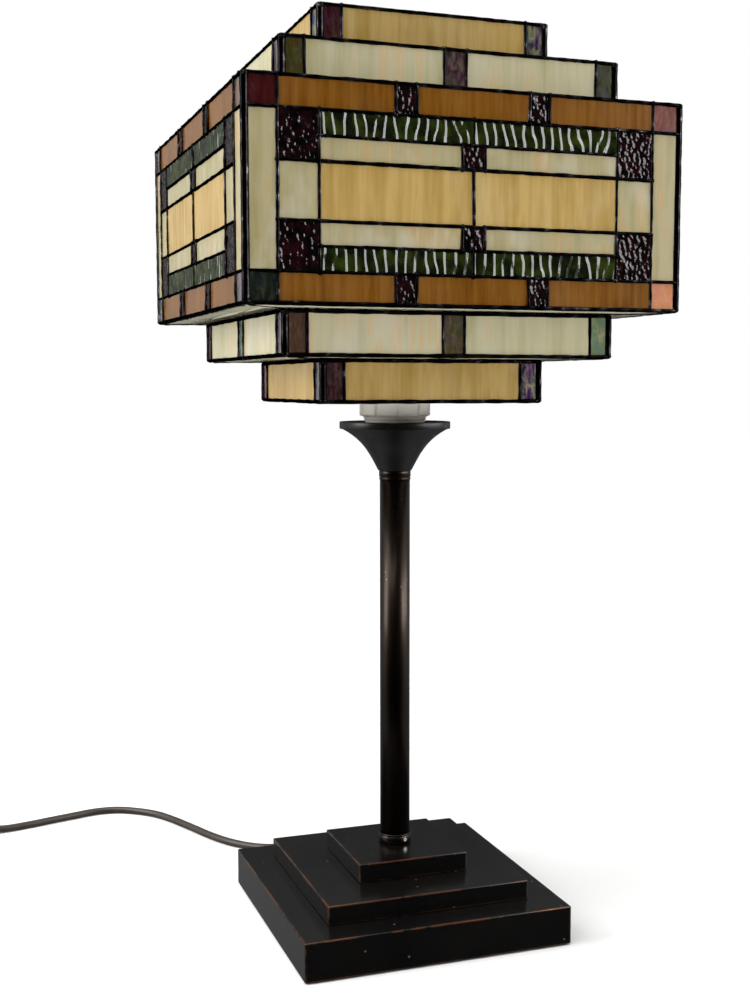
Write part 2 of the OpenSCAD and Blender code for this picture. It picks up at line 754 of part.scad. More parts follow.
base_tier_bottom();
base_tier_middle();
base_tier_top();
base_ballast();
base_cover();
base_felt();
base_screws();
stem_tube();
stem_foot_collar();
foot_grub_screw();
stem_neck_collar();
threaded_rod();
rod_washer();
rod_nut();
flared_cup();
cup_locknut();
holder_dome();
holder_shell();
holder_insert();
holder_screw_shell();
centre_contact();
inner_flex();
shade_ring();
shade_spider();
came_hem();
came_lower();
came_main();
came_upper();
came_crown();
corner_beads();
ledge_beads();
ledge_hem();
ledge_lower();
ledge_upper();
ledge_crown();
glass_honey();
glass_cream_main();
glass_cream_tiers();
glass_amber();
glass_ripple();
glass_hammered();
glass_accent_main();
glass_accent_tiers();
bulb_glass();
bulb_cap();
bulb_contact();
led_filaments();
cord_grommet();
cord_lead();
cord_link();
cord_tail();
cord_coil();
coil_tie();
switch_base();
switch_cover();
switch_rocker();
switch_screws();
plug_body();
plug_pins();
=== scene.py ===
"""Stained glass table lamp: stepped square shade of leaded glass on a flared cup, slim stem and
three-step base. The sections follow the lamp as it is put together, from the table up."""
import math
import random

import bmesh
import bpy
from mathutils import Matrix, Vector, noise


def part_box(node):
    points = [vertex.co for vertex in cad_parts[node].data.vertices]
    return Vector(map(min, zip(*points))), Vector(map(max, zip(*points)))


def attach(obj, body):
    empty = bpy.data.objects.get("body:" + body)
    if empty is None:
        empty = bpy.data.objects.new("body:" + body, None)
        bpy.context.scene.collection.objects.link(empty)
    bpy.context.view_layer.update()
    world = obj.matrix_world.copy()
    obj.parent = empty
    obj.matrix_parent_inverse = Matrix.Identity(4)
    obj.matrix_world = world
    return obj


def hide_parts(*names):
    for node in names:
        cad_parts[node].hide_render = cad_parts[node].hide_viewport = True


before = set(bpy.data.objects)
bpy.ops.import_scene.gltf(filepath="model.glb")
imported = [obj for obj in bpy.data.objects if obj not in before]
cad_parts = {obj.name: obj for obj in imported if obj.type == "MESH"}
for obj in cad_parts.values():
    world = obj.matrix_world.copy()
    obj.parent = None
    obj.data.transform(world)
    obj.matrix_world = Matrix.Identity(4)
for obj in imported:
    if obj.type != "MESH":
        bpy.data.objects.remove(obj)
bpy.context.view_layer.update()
MM = 0.001

# ---------------------------------------------------------------- camera, table and light
# The lamp stands on a white sweep, seen from the front left a little above the shade's hem.
# Wide soft panels at both sides and above give the glass and the gloss paint their edges.
camera_data = bpy.data.cameras.new("camera")
camera = bpy.data.objects.new("camera", camera_data)
bpy.context.scene.collection.objects.link(camera)
bpy.context.scene.camera = camera
camera_data.lens = 48.585
camera_data.shift_x = -0.01985
camera_data.shift_y = 0.02007
camera_data.clip_start = 0.05
camera_data.clip_end = 50
camera_x, camera_y = -0.29984, -0.84204
camera.location = (camera_x, camera_y, 0.35955)
camera.rotation_euler = Vector((0.3338, 0.9374, -0.09928)).to_track_quat("-Z", "Y").to_euler()
camera_side = math.atan2(camera_y, camera_x)


def srgb(code, alpha=1.0):
    """Linear colour from a hex code in sRGB."""
    parts = [int(code[i:i + 2], 16) / 255 for i in (1, 3, 5)]
    return [p / 12.92 if p < 0.04045 else ((p + 0.055) / 1.055) ** 2.4 for p in parts] + [alpha]


def add(tree, kind, sockets=(), stops=(), out=None, **settings):
    """Adds one shader node: settings are its own properties, sockets its values, hex colours or
    links. Returns the output of a name, or else the first one in use."""
    made = tree.nodes.new("ShaderNode" + kind)
    for count, (place, code) in enumerate(stops):
        stop = made.color_ramp.elements[count] if count < 2 else made.color_ramp.elements.new(place)
        stop.position, stop.color = place, srgb(code)
    for key, value in settings.items():
        setattr(made, key, value)
    for key, value in dict(sockets).items():
        if isinstance(value, bpy.types.NodeSocket):
            tree.links.new(value, made.inputs[key])
        else:
            made.inputs[key].default_value = srgb(value) if isinstance(value, str) else value
    return made.outputs[out] if out else next(socket for socket in made.outputs if socket.enabled)


def finish_named(name, **sockets):
    """A new material with its Principled shader set: returns the material, its tree and shader,
    and the object coordinates that its patterns follow."""
    made = bpy.data.materials.new(name)
    made.use_nodes = True
    tree = made.node_tree
    shader = tree.nodes["Principled BSDF"]
    for key, value in sockets.items():
        shader.inputs[key.replace("_", " ")].default_value = value
    return made, tree, shader, add(tree, "TexCoord", out="Object")


def feed(shader, **links):
    """Joins outputs to the shader's sockets by name."""
    for key, value in links.items():
        shader.id_data.links.new(value, shader.inputs[key.replace("_", " ")])


def grained(name, grain_mm, detail, dark, light, rough=None, relief=None, distortion=0, **sockets):
    """A finish with one grain of a size in millimetres, which takes its colour from dark to light.
    Its roughness runs from one value to another with it, and its relief has strength and depth."""
    material, tree, shader, place = finish_named(name, **sockets)
    grain = add(tree, "TexNoise", {"Vector": place, "Scale": 1000 / grain_mm, "Detail": detail,
                                   "Distortion": distortion})
    feed(shader, Base_Color=add(tree, "Mix", {"Factor": grain, "A": dark, "B": light}, data_type="RGBA"))
    if rough:
        feed(shader, Roughness=add(tree, "MapRange", {"Value": grain, "To Min": rough[0], "To Max": rough[1]}))
    if relief:
        feed(shader, Normal=add(tree, "Bump", {"Height": grain, "Strength": relief[0], "Distance": relief[1]}))
    return material


def joined(name, bm, material, body, *nodes, slot=None, smooth=True):
    """Makes the object of a finished bmesh, lets it ride on its body and stand for CAD nodes."""
    bmesh.ops.recalc_face_normals(bm, faces=bm.faces)
    mesh = bpy.data.meshes.new(name)
    bm.to_mesh(mesh)
    bm.free()
    for material_used in material if isinstance(material, list) else [material]:
        mesh.materials.append(material_used)
    mesh.polygons.foreach_set("use_smooth", [smooth] * len(mesh.polygons))
    made = bpy.data.objects.new(name, mesh)
    bpy.context.scene.collection.objects.link(made)
    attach(made, body)
    if nodes:
        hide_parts(*nodes)
    return made


floor_mesh = bpy.data.meshes.new("floor")
floor_bm = bmesh.new()
bmesh.ops.create_grid(floor_bm, x_segments=1, y_segments=1, size=6)
floor_bm.to_mesh(floor_mesh)
floor_bm.free()
floor = bpy.data.objects.new("floor", floor_mesh)
bpy.context.scene.collection.objects.link(floor)
# matt white paper: even, with a cloudiness too faint to draw the eye
floor_mesh.materials.append(grained("white_sweep_paper", 333, 2, "#F6F6F5", "#FAFAFA", Roughness=0.95))
floor.visible_glossy = False

world = bpy.data.worlds.new("studio")
bpy.context.scene.world = world
world.use_nodes = True
sky = world.node_tree
direction = add(sky, "TexCoord")
toward_camera = add(sky, "VectorMath", {0: direction, 1: (math.cos(camera_side), math.sin(camera_side), 0)},
                    out="Value", operation="DOT_PRODUCT")
round_lamp = add(sky, "ValToRGB", {"Fac": add(sky, "MapRange", {"Value": toward_camera, "From Min": -1.0})},
                 stops=[(0.035, "#4A4A4A"), (0.065, "#A0A0A0"), (0.28, "#A8A8A8"), (0.42, "#F4F4F4"),
                        (0.60, "#F4F4F4"), (0.74, "#404040"), (0.85, "#141414")])
height = add(sky, "SeparateXYZ", {"Vector": direction}, out="Z")
above_table = add(sky, "MapRange", {"Value": height, "From Min": -0.5, "From Max": 0.0, "To Min": 0.4})
surround = add(sky, "Math", {0: round_lamp, 1: above_table}, operation="MULTIPLY")
seen = add(sky, "LightPath", out="Is Camera Ray")
sky.nodes["Background"].inputs["Color"].default_value = (1, 1, 1, 1)
sky.links.new(add(sky, "Mix", {"Factor": seen, "A": surround, "B": 1.0}, data_type="FLOAT"),
              sky.nodes["Background"].inputs["Strength"])


def lamp_at(name, kind, place, aim, power, sheen_only=False, **shape):
    """A soft studio light, aimed at a point. One for sheen only shows in glossy surfaces."""
    light = bpy.data.lights.new(name, kind)
    light.energy = power
    for key, value in shape.items():
        setattr(light, key, value)
    holder = bpy.data.objects.new(name, light)
    holder.visible_diffuse = not sheen_only
    bpy.context.scene.collection.objects.link(holder)
    holder.location = place
    holder.rotation_euler = (Vector(aim) - Vector(place)).to_track_quat("-Z", "Y").to_euler()


lamp_at("left_panel", "AREA", (-1.7, 0.1, 0.95), (0, 0, 0.4), 21, shape="RECTANGLE", size=0.9, size_y=1.1)
lamp_at("right_panel", "AREA", (0.9, -0.9, 0.74), (0, 0, 0.4), 3.4, shape="RECTANGLE", size=0.35, size_y=0.55)
lamp_at("right_window", "AREA", (1.35, -0.66, 0.74), (0, 0, 0.45), 14, sheen_only=True, shape="RECTANGLE",
        size=1.2, size_y=0.6)
lamp_at("overhead", "SUN", (-0.9, -0.6, 2.4), (0, 0, 0), 2.45, angle=math.radians(60))
bpy.context.scene.view_settings.view_transform = "Standard"
bpy.context.scene.view_settings.look = "None"

# ---------------------------------------------------------------- cord
# Round brown PVC flex, 5.5 mm thick and 1.8 m long, out of the back wall of the base. It lies
# loose on the table to the in-line switch, then is wound and strapped, with its plug beside it.
CORD_D = 5.5 * MM
cord_exit = (-0.040, 0.089, 0.012)
lead_points = [
    (-40, 84, 12), (-40, 100, 12), (-40, 114, 12), (-41, 124, 10.5), (-45, 135, 7),
    (-53, 146, 4), (-65, 158, 2.8), (-78, 174, 2.8), (-88, 193, 2.8), (-98, 217, 2.8),
    (-109, 242, 2.8), (-120, 261, 2.8), (-135, 275, 2.8), (-150, 283, 2.8), (-167, 284, 2.8),
    (-185, 279, 2.8), (-205, 273, 2.8), (-225, 267, 2.8), (-242, 263, 3.2), (-256, 261.5, 5.5),
    (-268, 261.5, 8), (-330, 261.5, 8), (-340, 261.5, 6.5), (-350, 261.5, 4.6),
    (-360, 261.5, 3.8),
]
coil_middle = (-372, 220.25)
coil_outer_r = 41.25
coil_layer_z = (3.75, 9.35)
layer_turns = 3
rise_angle = 140
upper_angle = 1120
turn_step = 15
tail_points = [(-360, 180.5, 9.2), (-347, 180.5, 8.2), (-334, 180.5, 7), (-322, 180.5, 7)]


def coil_points():
    """Winds inwards on the table, climbs one layer at the inside, then winds out on top."""
    pitch = CORD_D / MM / 360
    points = []
    climb_from = layer_turns * 360
    climb_to = climb_from + rise_angle
    for angle in range(0, climb_to + upper_angle + 1, turn_step):
        inwards = min(angle, climb_to)
        outwards = max(angle - climb_to, 0)
        radius = coil_outer_r - pitch * inwards + pitch * outwards
        climb = min(max((angle - climb_from) / rise_angle, 0), 1)
        height = coil_layer_z[0] + (coil_layer_z[1] - coil_layer_z[0]) * climb * climb * (3 - 2 * climb)
        turned = math.radians(90 + angle)
        points.append((coil_middle[0] + radius * math.cos(turned),
                       coil_middle[1] + radius * math.sin(turned), height))
    return points


def smooth_route(points, steps):
    """Points along a smooth curve that passes through every given point."""
    route = []
    last = len(points) - 1
    for i in range(last):
        a, b, c, d = (points[max(i - 1, 0)], points[i], points[i + 1], points[min(i + 2, last)])
        for k in range(steps):
            t = k / steps
            route.append([0.5 * (2 * q + (r - p) * t + (2 * p - 5 * q + 4 * r - s) * t * t
                                 + (3 * q - 3 * r + s - p) * t ** 3) for p, q, r, s in zip(a, b, c, d)])
    return route + [list(points[last])]


cord_route = smooth_route(lead_points + coil_points() + tail_points, 3)
cord_curve = bpy.data.curves.new("mains_cord", "CURVE")
cord_curve.dimensions = "3D"
# the points' own radius gives the thickness, so a depth of one leaves it as it is
cord_curve.bevel_depth = 1.0
cord_curve.bevel_resolution = 3
cord_curve.use_fill_caps = True
cord_spline = cord_curve.splines.new("POLY")
cord_spline.points.add(len(cord_route) - 1)
for spot, place in zip(cord_spline.points, cord_route):
    spot.co = [value * MM for value in place] + [1]
    spot.radius = CORD_D / 2
cord = bpy.data.objects.new("mains_cord", cord_curve)
bpy.context.scene.collection.objects.link(cord)
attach(cord, "stand")
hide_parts("cord_lead", "cord_link", "cord_tail", "cord_coil")
# extruded PVC: smooth with a slight satin, and dust that dulls the brown in faint clouds
pvc = grained("brown_pvc_extruded", 11.1, 3, "#2A211B", "#453A31", Roughness=0.42, IOR=1.53)
cord_curve.materials.append(pvc)

# ---------------------------------------------------------------- base
# Three square steps of pressed steel, hollow inside, stacked and held by the threaded rod. They
# are copper washed and then sprayed black, so that rubbed edges show the copper.
STEP_EDGE = 0.8
WEAR_BAND = 0.4


def box_mm(node):
    """Lowest and highest corner of a CAD node, in millimetres."""
    return [[value / MM for value in corner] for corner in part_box(node)]


def block(bm, low, high):
    """A box between two corners given in millimetres: returns its faces."""
    middle = Vector([(a + b) / 2 for a, b in zip(low, high)]) * MM
    size = Matrix.Diagonal([(b - a) * MM for a, b in zip(low, high)] + [1])
    made = bmesh.ops.create_cube(bm, size=1, matrix=Matrix.Translation(middle) @ size)["verts"]
    return list({face for vert in made for face in vert.link_faces})


def eased(bm, edges, width, segments=3):
    """Rounds edges over by a width in millimetres."""
    return bmesh.ops.bevel(bm, geom=list(edges), offset=width * MM, segments=segments, profile=0.5,
                           affect="EDGES", material=-1, clamp_overlap=True)


def refinish(material, *nodes):
    """Gives carried-over CAD nodes a new material."""
    for node in nodes:
        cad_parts[node].material_slots[0].material = material


# sprayed satin paint on steel: nearly black with faint brown clouds, a fine orange peel, copper
# along rubbed edges and a few tiny pale chips
paint, tree, shader, place = finish_named("black_sprayed_paint", IOR=1.5)
paint_cloud = add(tree, "TexNoise", {"Vector": place, "Scale": 1000 / 45.5, "Detail": 4.0})
paint_tint = add(tree, "Mix", {"Factor": paint_cloud, "A": "#070708", "B": "#12100E"}, data_type="RGBA")
rubbed_edge = add(tree, "Attribute", out="Fac", attribute_name="edge")
rub = add(tree, "TexNoise", {"Vector": place, "Scale": 1000 / 29.4, "Detail": 6.0, "Roughness": 0.7})
rub_mask = add(tree, "MapRange", {"Value": rub, "From Min": 0.46, "From Max": 0.66})
worn = add(tree, "Math", {0: rubbed_edge, 1: rub_mask}, operation="MULTIPLY")
worn_tint = add(tree, "Mix", {"Factor": worn, "A": paint_tint, "B": "#74492A"}, data_type="RGBA")
chip_cells = add(tree, "TexVoronoi", {"Vector": place, "Scale": 1000 / 16.67})
chip = add(tree, "MapRange", {"Value": chip_cells, "From Min": 0.055, "From Max": 0.035})
peel = add(tree, "TexNoise", {"Vector": place, "Scale": 1000 / 1.43, "Detail": 2.0})
feed(shader, Metallic=worn,
     Base_Color=add(tree, "Mix", {"Factor": chip, "A": worn_tint, "B": "#57524A"}, data_type="RGBA"),
     Roughness=add(tree, "MapRange", {"Value": paint_cloud, "To Min": 0.16, "To Max": 0.28}),
     Normal=add(tree, "Bump", {"Height": peel, "Strength": 0.25, "Distance": 0.00006}))

for step, floor_wall in (("bottom", 5), ("middle", 3), ("top", 3)):
    low, high = box_mm("base_tier_" + step)
    bm = bmesh.new()
    block(bm, low, high)
    eased(bm, bm.edges, STEP_EDGE)
    edge_wear = bm.verts.layers.float.new("edge")
    flats = [face for face in bm.faces if face.calc_area() > 100 * MM * MM]
    for vert in bm.verts:
        vert[edge_wear] = 1
    bmesh.ops.inset_individual(bm, faces=flats, thickness=WEAR_BAND * MM)
    for face in flats:
        for vert in face.verts:
            vert[edge_wear] = 0
    under = min(flats, key=lambda face: face.calc_center_median().z)
    bmesh.ops.inset_region(bm, faces=[under], thickness=floor_wall * MM)
    raised = bmesh.ops.extrude_discrete_faces(bm, faces=[under])["faces"]
    bmesh.ops.translate(bm, verts=raised[0].verts, vec=(0, 0, (high[2] - low[2] - 4) * MM))
    joined("base_step_" + step, bm, paint, "stand", "base_tier_" + step, slot="black_bronze_paint")

# ---------------------------------------------------------------- inside and under the base
# A cast iron weight in the bottom step, closed by a pressed board with four screws and a felt
# that guards the table. The rod is clamped under the top plate by a washer and a nut.
# sand-cast iron: dark grey, coarse grain of the mould
iron = grained("sand_cast_iron", 2, 4, "#2C2B2A", "#55514D", relief=(0.6, 0.0004),
               Roughness=0.75, Metallic=0.6)
refinish(iron, "base_ballast")
# pressed hardboard: brown fibres about a millimetre wide laid flat
board = grained("pressed_hardboard", 1.11, 3, "#4A3524", "#7A5C40", distortion=2, Roughness=0.8)
refinish(board, "base_cover")
# needled wool felt: fibres, no weave, with the sheen of short nap
felt = grained("needled_green_felt", 0.714, 5, "#16301F", "#2F5238", relief=(0.7, 0.0004), distortion=1.5,
               Roughness=0.95, Sheen_Weight=0.4)
refinish(felt, "base_felt")
# zinc-plated steel: pale grey, cloudy gloss
zinc = grained("zinc_plated_steel", 3.85, 3, "#A9A9A4", "#C8C7C0", rough=(0.25, 0.45), Metallic=1.0)
refinish(zinc, "base_screws", "rod_washer", "switch_screws")
# drawn brass: yellow metal, dulled in clouds by handling
brass = grained("drawn_brass", 8.33, 4, "#8F6F38", "#C2A35E", rough=(0.42, 0.26), Metallic=1.0)
refinish(brass, "threaded_rod", "rod_nut", "cup_locknut", "holder_screw_shell", "centre_contact",
         "bulb_contact")
refinish(pvc, "inner_flex")

# ---------------------------------------------------------------- stem
# A drawn steel tube between a foot collar, held by a grub screw, and a grooved neck collar. All
# three are bronzed dark brown and lacquered to a clear satin.
STEM_SIDES = 72


def turned(profile, sides=STEM_SIDES):
    """Spins a profile of (radius, height) in millimetres about the lamp's axis, as on a lathe."""
    bm = bmesh.new()
    points = [bm.verts.new((radius * MM, 0, height * MM)) for radius, height in profile]
    lines = [bm.edges.new(pair) for pair in zip(points, points[1:])]
    if profile[0][0] > 0 and profile[-1][0] > 0:
        lines.append(bm.edges.new((points[-1], points[0])))
    bmesh.ops.spin(bm, geom=points + lines, cent=(0, 0, 0), axis=(0, 0, 1), angle=2 * math.pi,
                   steps=sides, use_merge=True)
    bmesh.ops.remove_doubles(bm, verts=bm.verts, dist=0.000002)
    bmesh.ops.recalc_face_normals(bm, faces=bm.faces)
    return bm


def arrises(bm, angle=0.6):
    """The edges where two faces meet at more than an angle."""
    return [edge for edge in bm.edges if len(edge.link_faces) == 2 and edge.calc_face_angle() > angle]


# lacquered bronzed steel: dark brown with upright drawing lines two thirds of a millimetre
# apart, and pin-sized marks
bronzed, tree, shader, place = finish_named("lacquered_bronzed_steel", Metallic=1.0, Coat_Weight=0.15,
                                             Coat_Roughness=0.2)
drawn_place = add(tree, "Mapping", {"Vector": place, "Scale": (1, 1, 0.02)})
drawn_lines = add(tree, "TexNoise", {"Vector": drawn_place, "Scale": 1000 / 0.667, "Detail": 2.0})
bronzed_cloud = add(tree, "TexNoise", {"Vector": place, "Scale": 1000 / 22.2, "Detail": 5.0})
bronzed_tint = add(tree, "Mix", {"Factor": bronzed_cloud, "A": "#2A231E", "B": "#342B25"}, data_type="RGBA")
pin_cells = add(tree, "TexVoronoi", {"Vector": place, "Scale": 1000 / 9.09})
pin_mark = add(tree, "MapRange", {"Value": pin_cells, "From Min": 0.06, "From Max": 0.03})
feed(shader,
     Base_Color=add(tree, "Mix", {"Factor": pin_mark, "A": bronzed_tint, "B": "#7A6A58"}, data_type="RGBA"),
     Roughness=add(tree, "MapRange", {"Value": drawn_lines, "To Min": 0.3, "To Max": 0.42}),
     Normal=add(tree, "Bump", {"Height": drawn_lines, "Strength": 0.12, "Distance": 0.00005}))

low, high = box_mm("stem_tube")
stem_bm = turned([(8.5, low[2]), (high[0], low[2]), (high[0], high[2]), (8.5, high[2])])
joined("stem", stem_bm, bronzed, "stand", "stem_tube", slot="bronze_stem")

low, high = box_mm("stem_foot_collar")
foot_bottom, foot_top = low[2], high[2]
groove = foot_top - 1.6
foot_bm = turned([
    (10.05, foot_bottom), (10.8, foot_bottom), (10.8, groove), (10.6, groove + 0.15), (10.6, groove + 0.45),
    (10.8, groove + 0.6), (10.8, foot_top - 0.4), (10.45, foot_top), (10.05, foot_top)])
joined("stem_foot", foot_bm, bronzed, "stand", "stem_foot_collar", slot="bronze_stem")

low, high = box_mm("stem_neck_collar")
neck_bottom, neck_top = low[2], high[2]
neck_bm = turned([
    (5.0, neck_bottom), (10.0, neck_bottom), (10.5, neck_bottom + 0.4), (10.5, neck_bottom + 1.1),
    (10.1, neck_bottom + 1.3), (10.1, neck_bottom + 1.9), (10.5, neck_bottom + 2.1),
    (10.5, neck_top - 0.4), (10.2, neck_top), (5.0, neck_top)])
joined("stem_neck", neck_bm, bronzed, "stand", "stem_neck_collar", slot="bronze_stem")

# nickel-plated steel: bright, faintly warm, with a fine haze of wear
nickel = grained("nickel_plated_steel", 3.33, 4, "#B9B6AE", "#D6D3CB", rough=(0.14, 0.30), Metallic=1.0)
refinish(nickel, "foot_grub_screw", "plug_pins")

# ---------------------------------------------------------------- cup
# A flared cup cast in zinc, screwed down on the rod, with a plain band round its rim. It has the
# base's black paint, sprayed thin over the grain of the casting.
CUP_STEPS = 36
CUP_WALL = 1.8
RIM_H = 4.7
low, high = box_mm("flared_cup")
cup_r, cup_foot, cup_top = high[0], low[2], high[2]
flare_h = cup_top - RIM_H - cup_foot


def flare_r(t):
    """Radius of the cup's flare at a fraction of its height."""
    return 11 + (cup_r - 1.4 - 11) * (0.6 * t + 0.4 * t ** 4)


cup_outside = [(flare_r(i / CUP_STEPS), cup_foot + flare_h * i / CUP_STEPS) for i in range(CUP_STEPS + 1)]
cup_inside = [(flare_r(i / CUP_STEPS) - CUP_WALL, cup_foot + flare_h * i / CUP_STEPS + 0.4)
              for i in range(CUP_STEPS, 9, -1)]
cup_bm = turned([(5.1, cup_foot)] + cup_outside
                + [(cup_r, cup_top - RIM_H), (cup_r, cup_top), (cup_r - 1.6, cup_top),
                   (cup_r - 1.9, cup_top - RIM_H + 0.5)]
                + cup_inside + [(11.8, cup_foot + 5.5), (5.1, cup_foot + 5.5)], 96)
eased(cup_bm, arrises(cup_bm), 0.4, 2)
# thin paint over a casting: the same black, more matt, with pits under a millimetre wide and a
# few nicks
cast, tree, shader, place = finish_named("black_paint_on_casting", IOR=1.5)
cast_grain = add(tree, "TexNoise", {"Vector": place, "Scale": 1000 / 0.909, "Detail": 3.0})
cast_cloud = add(tree, "TexNoise", {"Vector": place, "Scale": 1000 / 16.67, "Detail": 3.0})
cast_tint = add(tree, "Mix", {"Factor": cast_cloud, "A": "#080808", "B": "#111010"}, data_type="RGBA")
nick_cells = add(tree, "TexVoronoi", {"Vector": place, "Scale": 1000 / 11.76})
nick = add(tree, "MapRange", {"Value": nick_cells, "From Min": 0.075, "From Max": 0.045})
feed(shader, Base_Color=add(tree, "Mix", {"Factor": nick, "A": cast_tint, "B": "#8F8A80"}, data_type="RGBA"),
     Roughness=add(tree, "MapRange", {"Value": cast_grain, "To Min": 0.24, "To Max": 0.46}),
     Normal=add(tree, "Bump", {"Height": cast_grain, "Strength": 0.35, "Distance": 0.00012}))
joined("cup", cup_bm, cast, "stand", "flared_cup", slot="black_bronze_paint")

# ---------------------------------------------------------------- lampholder
# A screw lampholder moulded in ivory plastic: a domed cap on the rod, and an outer shell with a
# gripped shoulder, on which the shade rests, and a screwed skirt above it for the shade ring.
GRIP_R = 23.3
GRIP_ROOT_R = 22.4
GRIP_SIDES = 240
GRIP_TURN = 3.6
THREAD_R = 19.4
THREAD_PITCH = 2.5
# urea-formaldehyde moulding: ivory, slightly milky, even satin with faint flow clouds
ivory = grained("ivory_urea_moulding", 14.3, 4, "#EAE6DC", "#F7F4EC", rough=(0.28, 0.40), IOR=1.55,
                Subsurface_Weight=0.15, Subsurface_Scale=0.002)
dome_bm = turned([
    (4.9, 316), (7.5, 316), (7.6, 319.5), (7.8, 322.6), (8.6, 324.2), (10.2, 325.0), (12, 325.9),
    (14.2, 327.8), (16, 330.2), (17.4, 332.9), (18.4, 334.6), (19.7, 335.6), (19.9, 336.2), (19.5, 336.5),
    (19.6, 336.9), (20.4, 337.2), (20.6, 337.9), (20.2, 338.2), (20.3, 338.6), (20.9, 338.8), (21, 339.4),
    (18.4, 339.4), (17, 335.6), (14.4, 331), (11, 327.6), (4.9, 326)])
joined("holder_cap", dome_bm, ivory, "stand", "holder_dome", slot="holder_white")

low, high = box_mm("holder_shell")
shoulder_z, skirt_top = low[2], high[2]
seat_z = shoulder_z + 10.5
grip_heights = [shoulder_z + offset for offset in (0, 0.25, 0.6, 1.0, 3.5, 6.5, 9.0, 9.5, 10.2, 10.5)]
shell_profile = [(16.8, shoulder_z)] + [(GRIP_ROOT_R, height) for height in grip_heights] + [(20.0, seat_z)]
thread_rows = 44
shell_profile += [(THREAD_R, seat_z + 0.6 + (skirt_top - seat_z - 1.2) * i / thread_rows)
                  for i in range(thread_rows + 1)]
shell_profile += [(18.6, skirt_top), (16.8, skirt_top)]
shell_bm = turned(shell_profile, GRIP_SIDES)
for vert in shell_bm.verts:
    radius = vert.co.xy.length / MM
    height = vert.co.z / MM
    angle = math.degrees(math.atan2(vert.co.y, vert.co.x))
    if abs(radius - GRIP_ROOT_R) < 0.05 and height < seat_z + 0.05:
        off_groove = abs((angle - GRIP_TURN + 18) % 36 - 18)
        rounded_ends = min(1, (height - shoulder_z) / 0.9, (seat_z - height) / 0.9)
        proud = max(0, min(1, (off_groove - 1.4) / 1.2)) * max(0, rounded_ends) ** 0.5
        wanted = GRIP_ROOT_R - 0.5 + (GRIP_R - GRIP_ROOT_R + 0.5) * proud
        vert.co.xy *= wanted / radius
    elif abs(radius - THREAD_R) < 0.05:
        crest = 0.5 + 0.5 * math.cos(2 * math.pi * ((height - seat_z) / THREAD_PITCH - angle / 360))
        fade = max(0, min(1, (height - seat_z) / 1.5, (skirt_top - height) / 1.5))
        vert.co.xy *= (THREAD_R + 0.55 * fade * crest ** 0.6) / radius
joined("holder_shell_moulding", shell_bm, ivory, "stand", "holder_shell", slot="holder_white")
# porcelain block inside: white, glazed, with a few dark specks fired in
porcelain, tree, shader, place = finish_named("glazed_porcelain", Roughness=0.12, IOR=1.5)
speck_cells = add(tree, "TexVoronoi", {"Vector": place, "Scale": 1000 / 4.17})
speck = add(tree, "MapRange", {"Value": speck_cells, "From Min": 0.08, "From Max": 0.05})
feed(shader, Base_Color=add(tree, "Mix", {"Factor": speck, "A": "#E6E3DA", "B": "#8C8272"}, data_type="RGBA"))
refinish(porcelain, "holder_insert")

# ---------------------------------------------------------------- spider and shade ring
# A flat brass cross sits on the shoulder, its four arms soldered to the hem of the shade. The
# ivory ring screws down on the skirt above it, and lets the shade turn while it is loose.
ARM_W = 8
SPIDER_T = 2
HUB_IN_R = 20.6
HUB_R = 27.5


def to_wall(bm, verts, side):
    """Turns points made at the front wall round to one of the lamp's four sides."""
    bmesh.ops.rotate(bm, verts=verts, cent=(0, 0, 0), matrix=Matrix.Rotation(side * math.pi / 2, 3, "Z"))


low, high = box_mm("shade_spider")
spider_z, reach = low[2], high[0]
hub_bm = turned([(HUB_IN_R, spider_z), (HUB_R, spider_z), (HUB_R, spider_z + SPIDER_T),
                 (HUB_IN_R, spider_z + SPIDER_T)], 96)
eased(hub_bm, arrises(hub_bm), 0.3, 2)
for side in range(4):
    start = len(hub_bm.verts)
    arm_faces = block(hub_bm, (HUB_R - 1, -ARM_W / 2, spider_z + 0.03),
                      (reach, ARM_W / 2, spider_z + SPIDER_T - 0.03))
    tab_faces = block(hub_bm, (reach - 1.6, -ARM_W / 2, spider_z + SPIDER_T - 0.3),
                      (reach, ARM_W / 2, spider_z + 14))
    arm_edges = {edge for face in arm_faces + tab_faces for edge in face.edges}
    eased(hub_bm, arm_edges, 0.3, 2)
    to_wall(hub_bm, hub_bm.verts[start:], side)
joined("spider", hub_bm, brass, "shade", "shade_spider", slot="brass")

low, high = box_mm("shade_ring")
ring_low, ring_high = low[2], high[2]
ring_bm = turned([(20.4, ring_low), (25.2, ring_low)]
                 + [(25.2, ring_low + offset) for offset in (0.4, 1.0, 2.5, 4.0, 5.5, 6.8, 7.3, 7.6)]
                 + [(24.9, ring_high - 0.3), (24.4, ring_high), (21.2, ring_high),
                    (20.4, ring_high - 0.8)], 216)
for vert in ring_bm.verts:
    radius = vert.co.xy.length / MM
    height = vert.co.z / MM
    if abs(radius - 25.2) < 0.05:
        off_rib = abs((math.degrees(math.atan2(vert.co.y, vert.co.x)) + 10) % 20 - 10)
        proud = max(0, min(1, (6.0 - off_rib) / 1.6)) * max(0, min(1, (ring_low + 7.6 - height) / 0.8))
        vert.co.xy *= (25.2 + 1.2 * proud) / radius
joined("shade_clamp_ring", ring_bm, ivory, "shade_ring", "shade_ring", slot="holder_white")

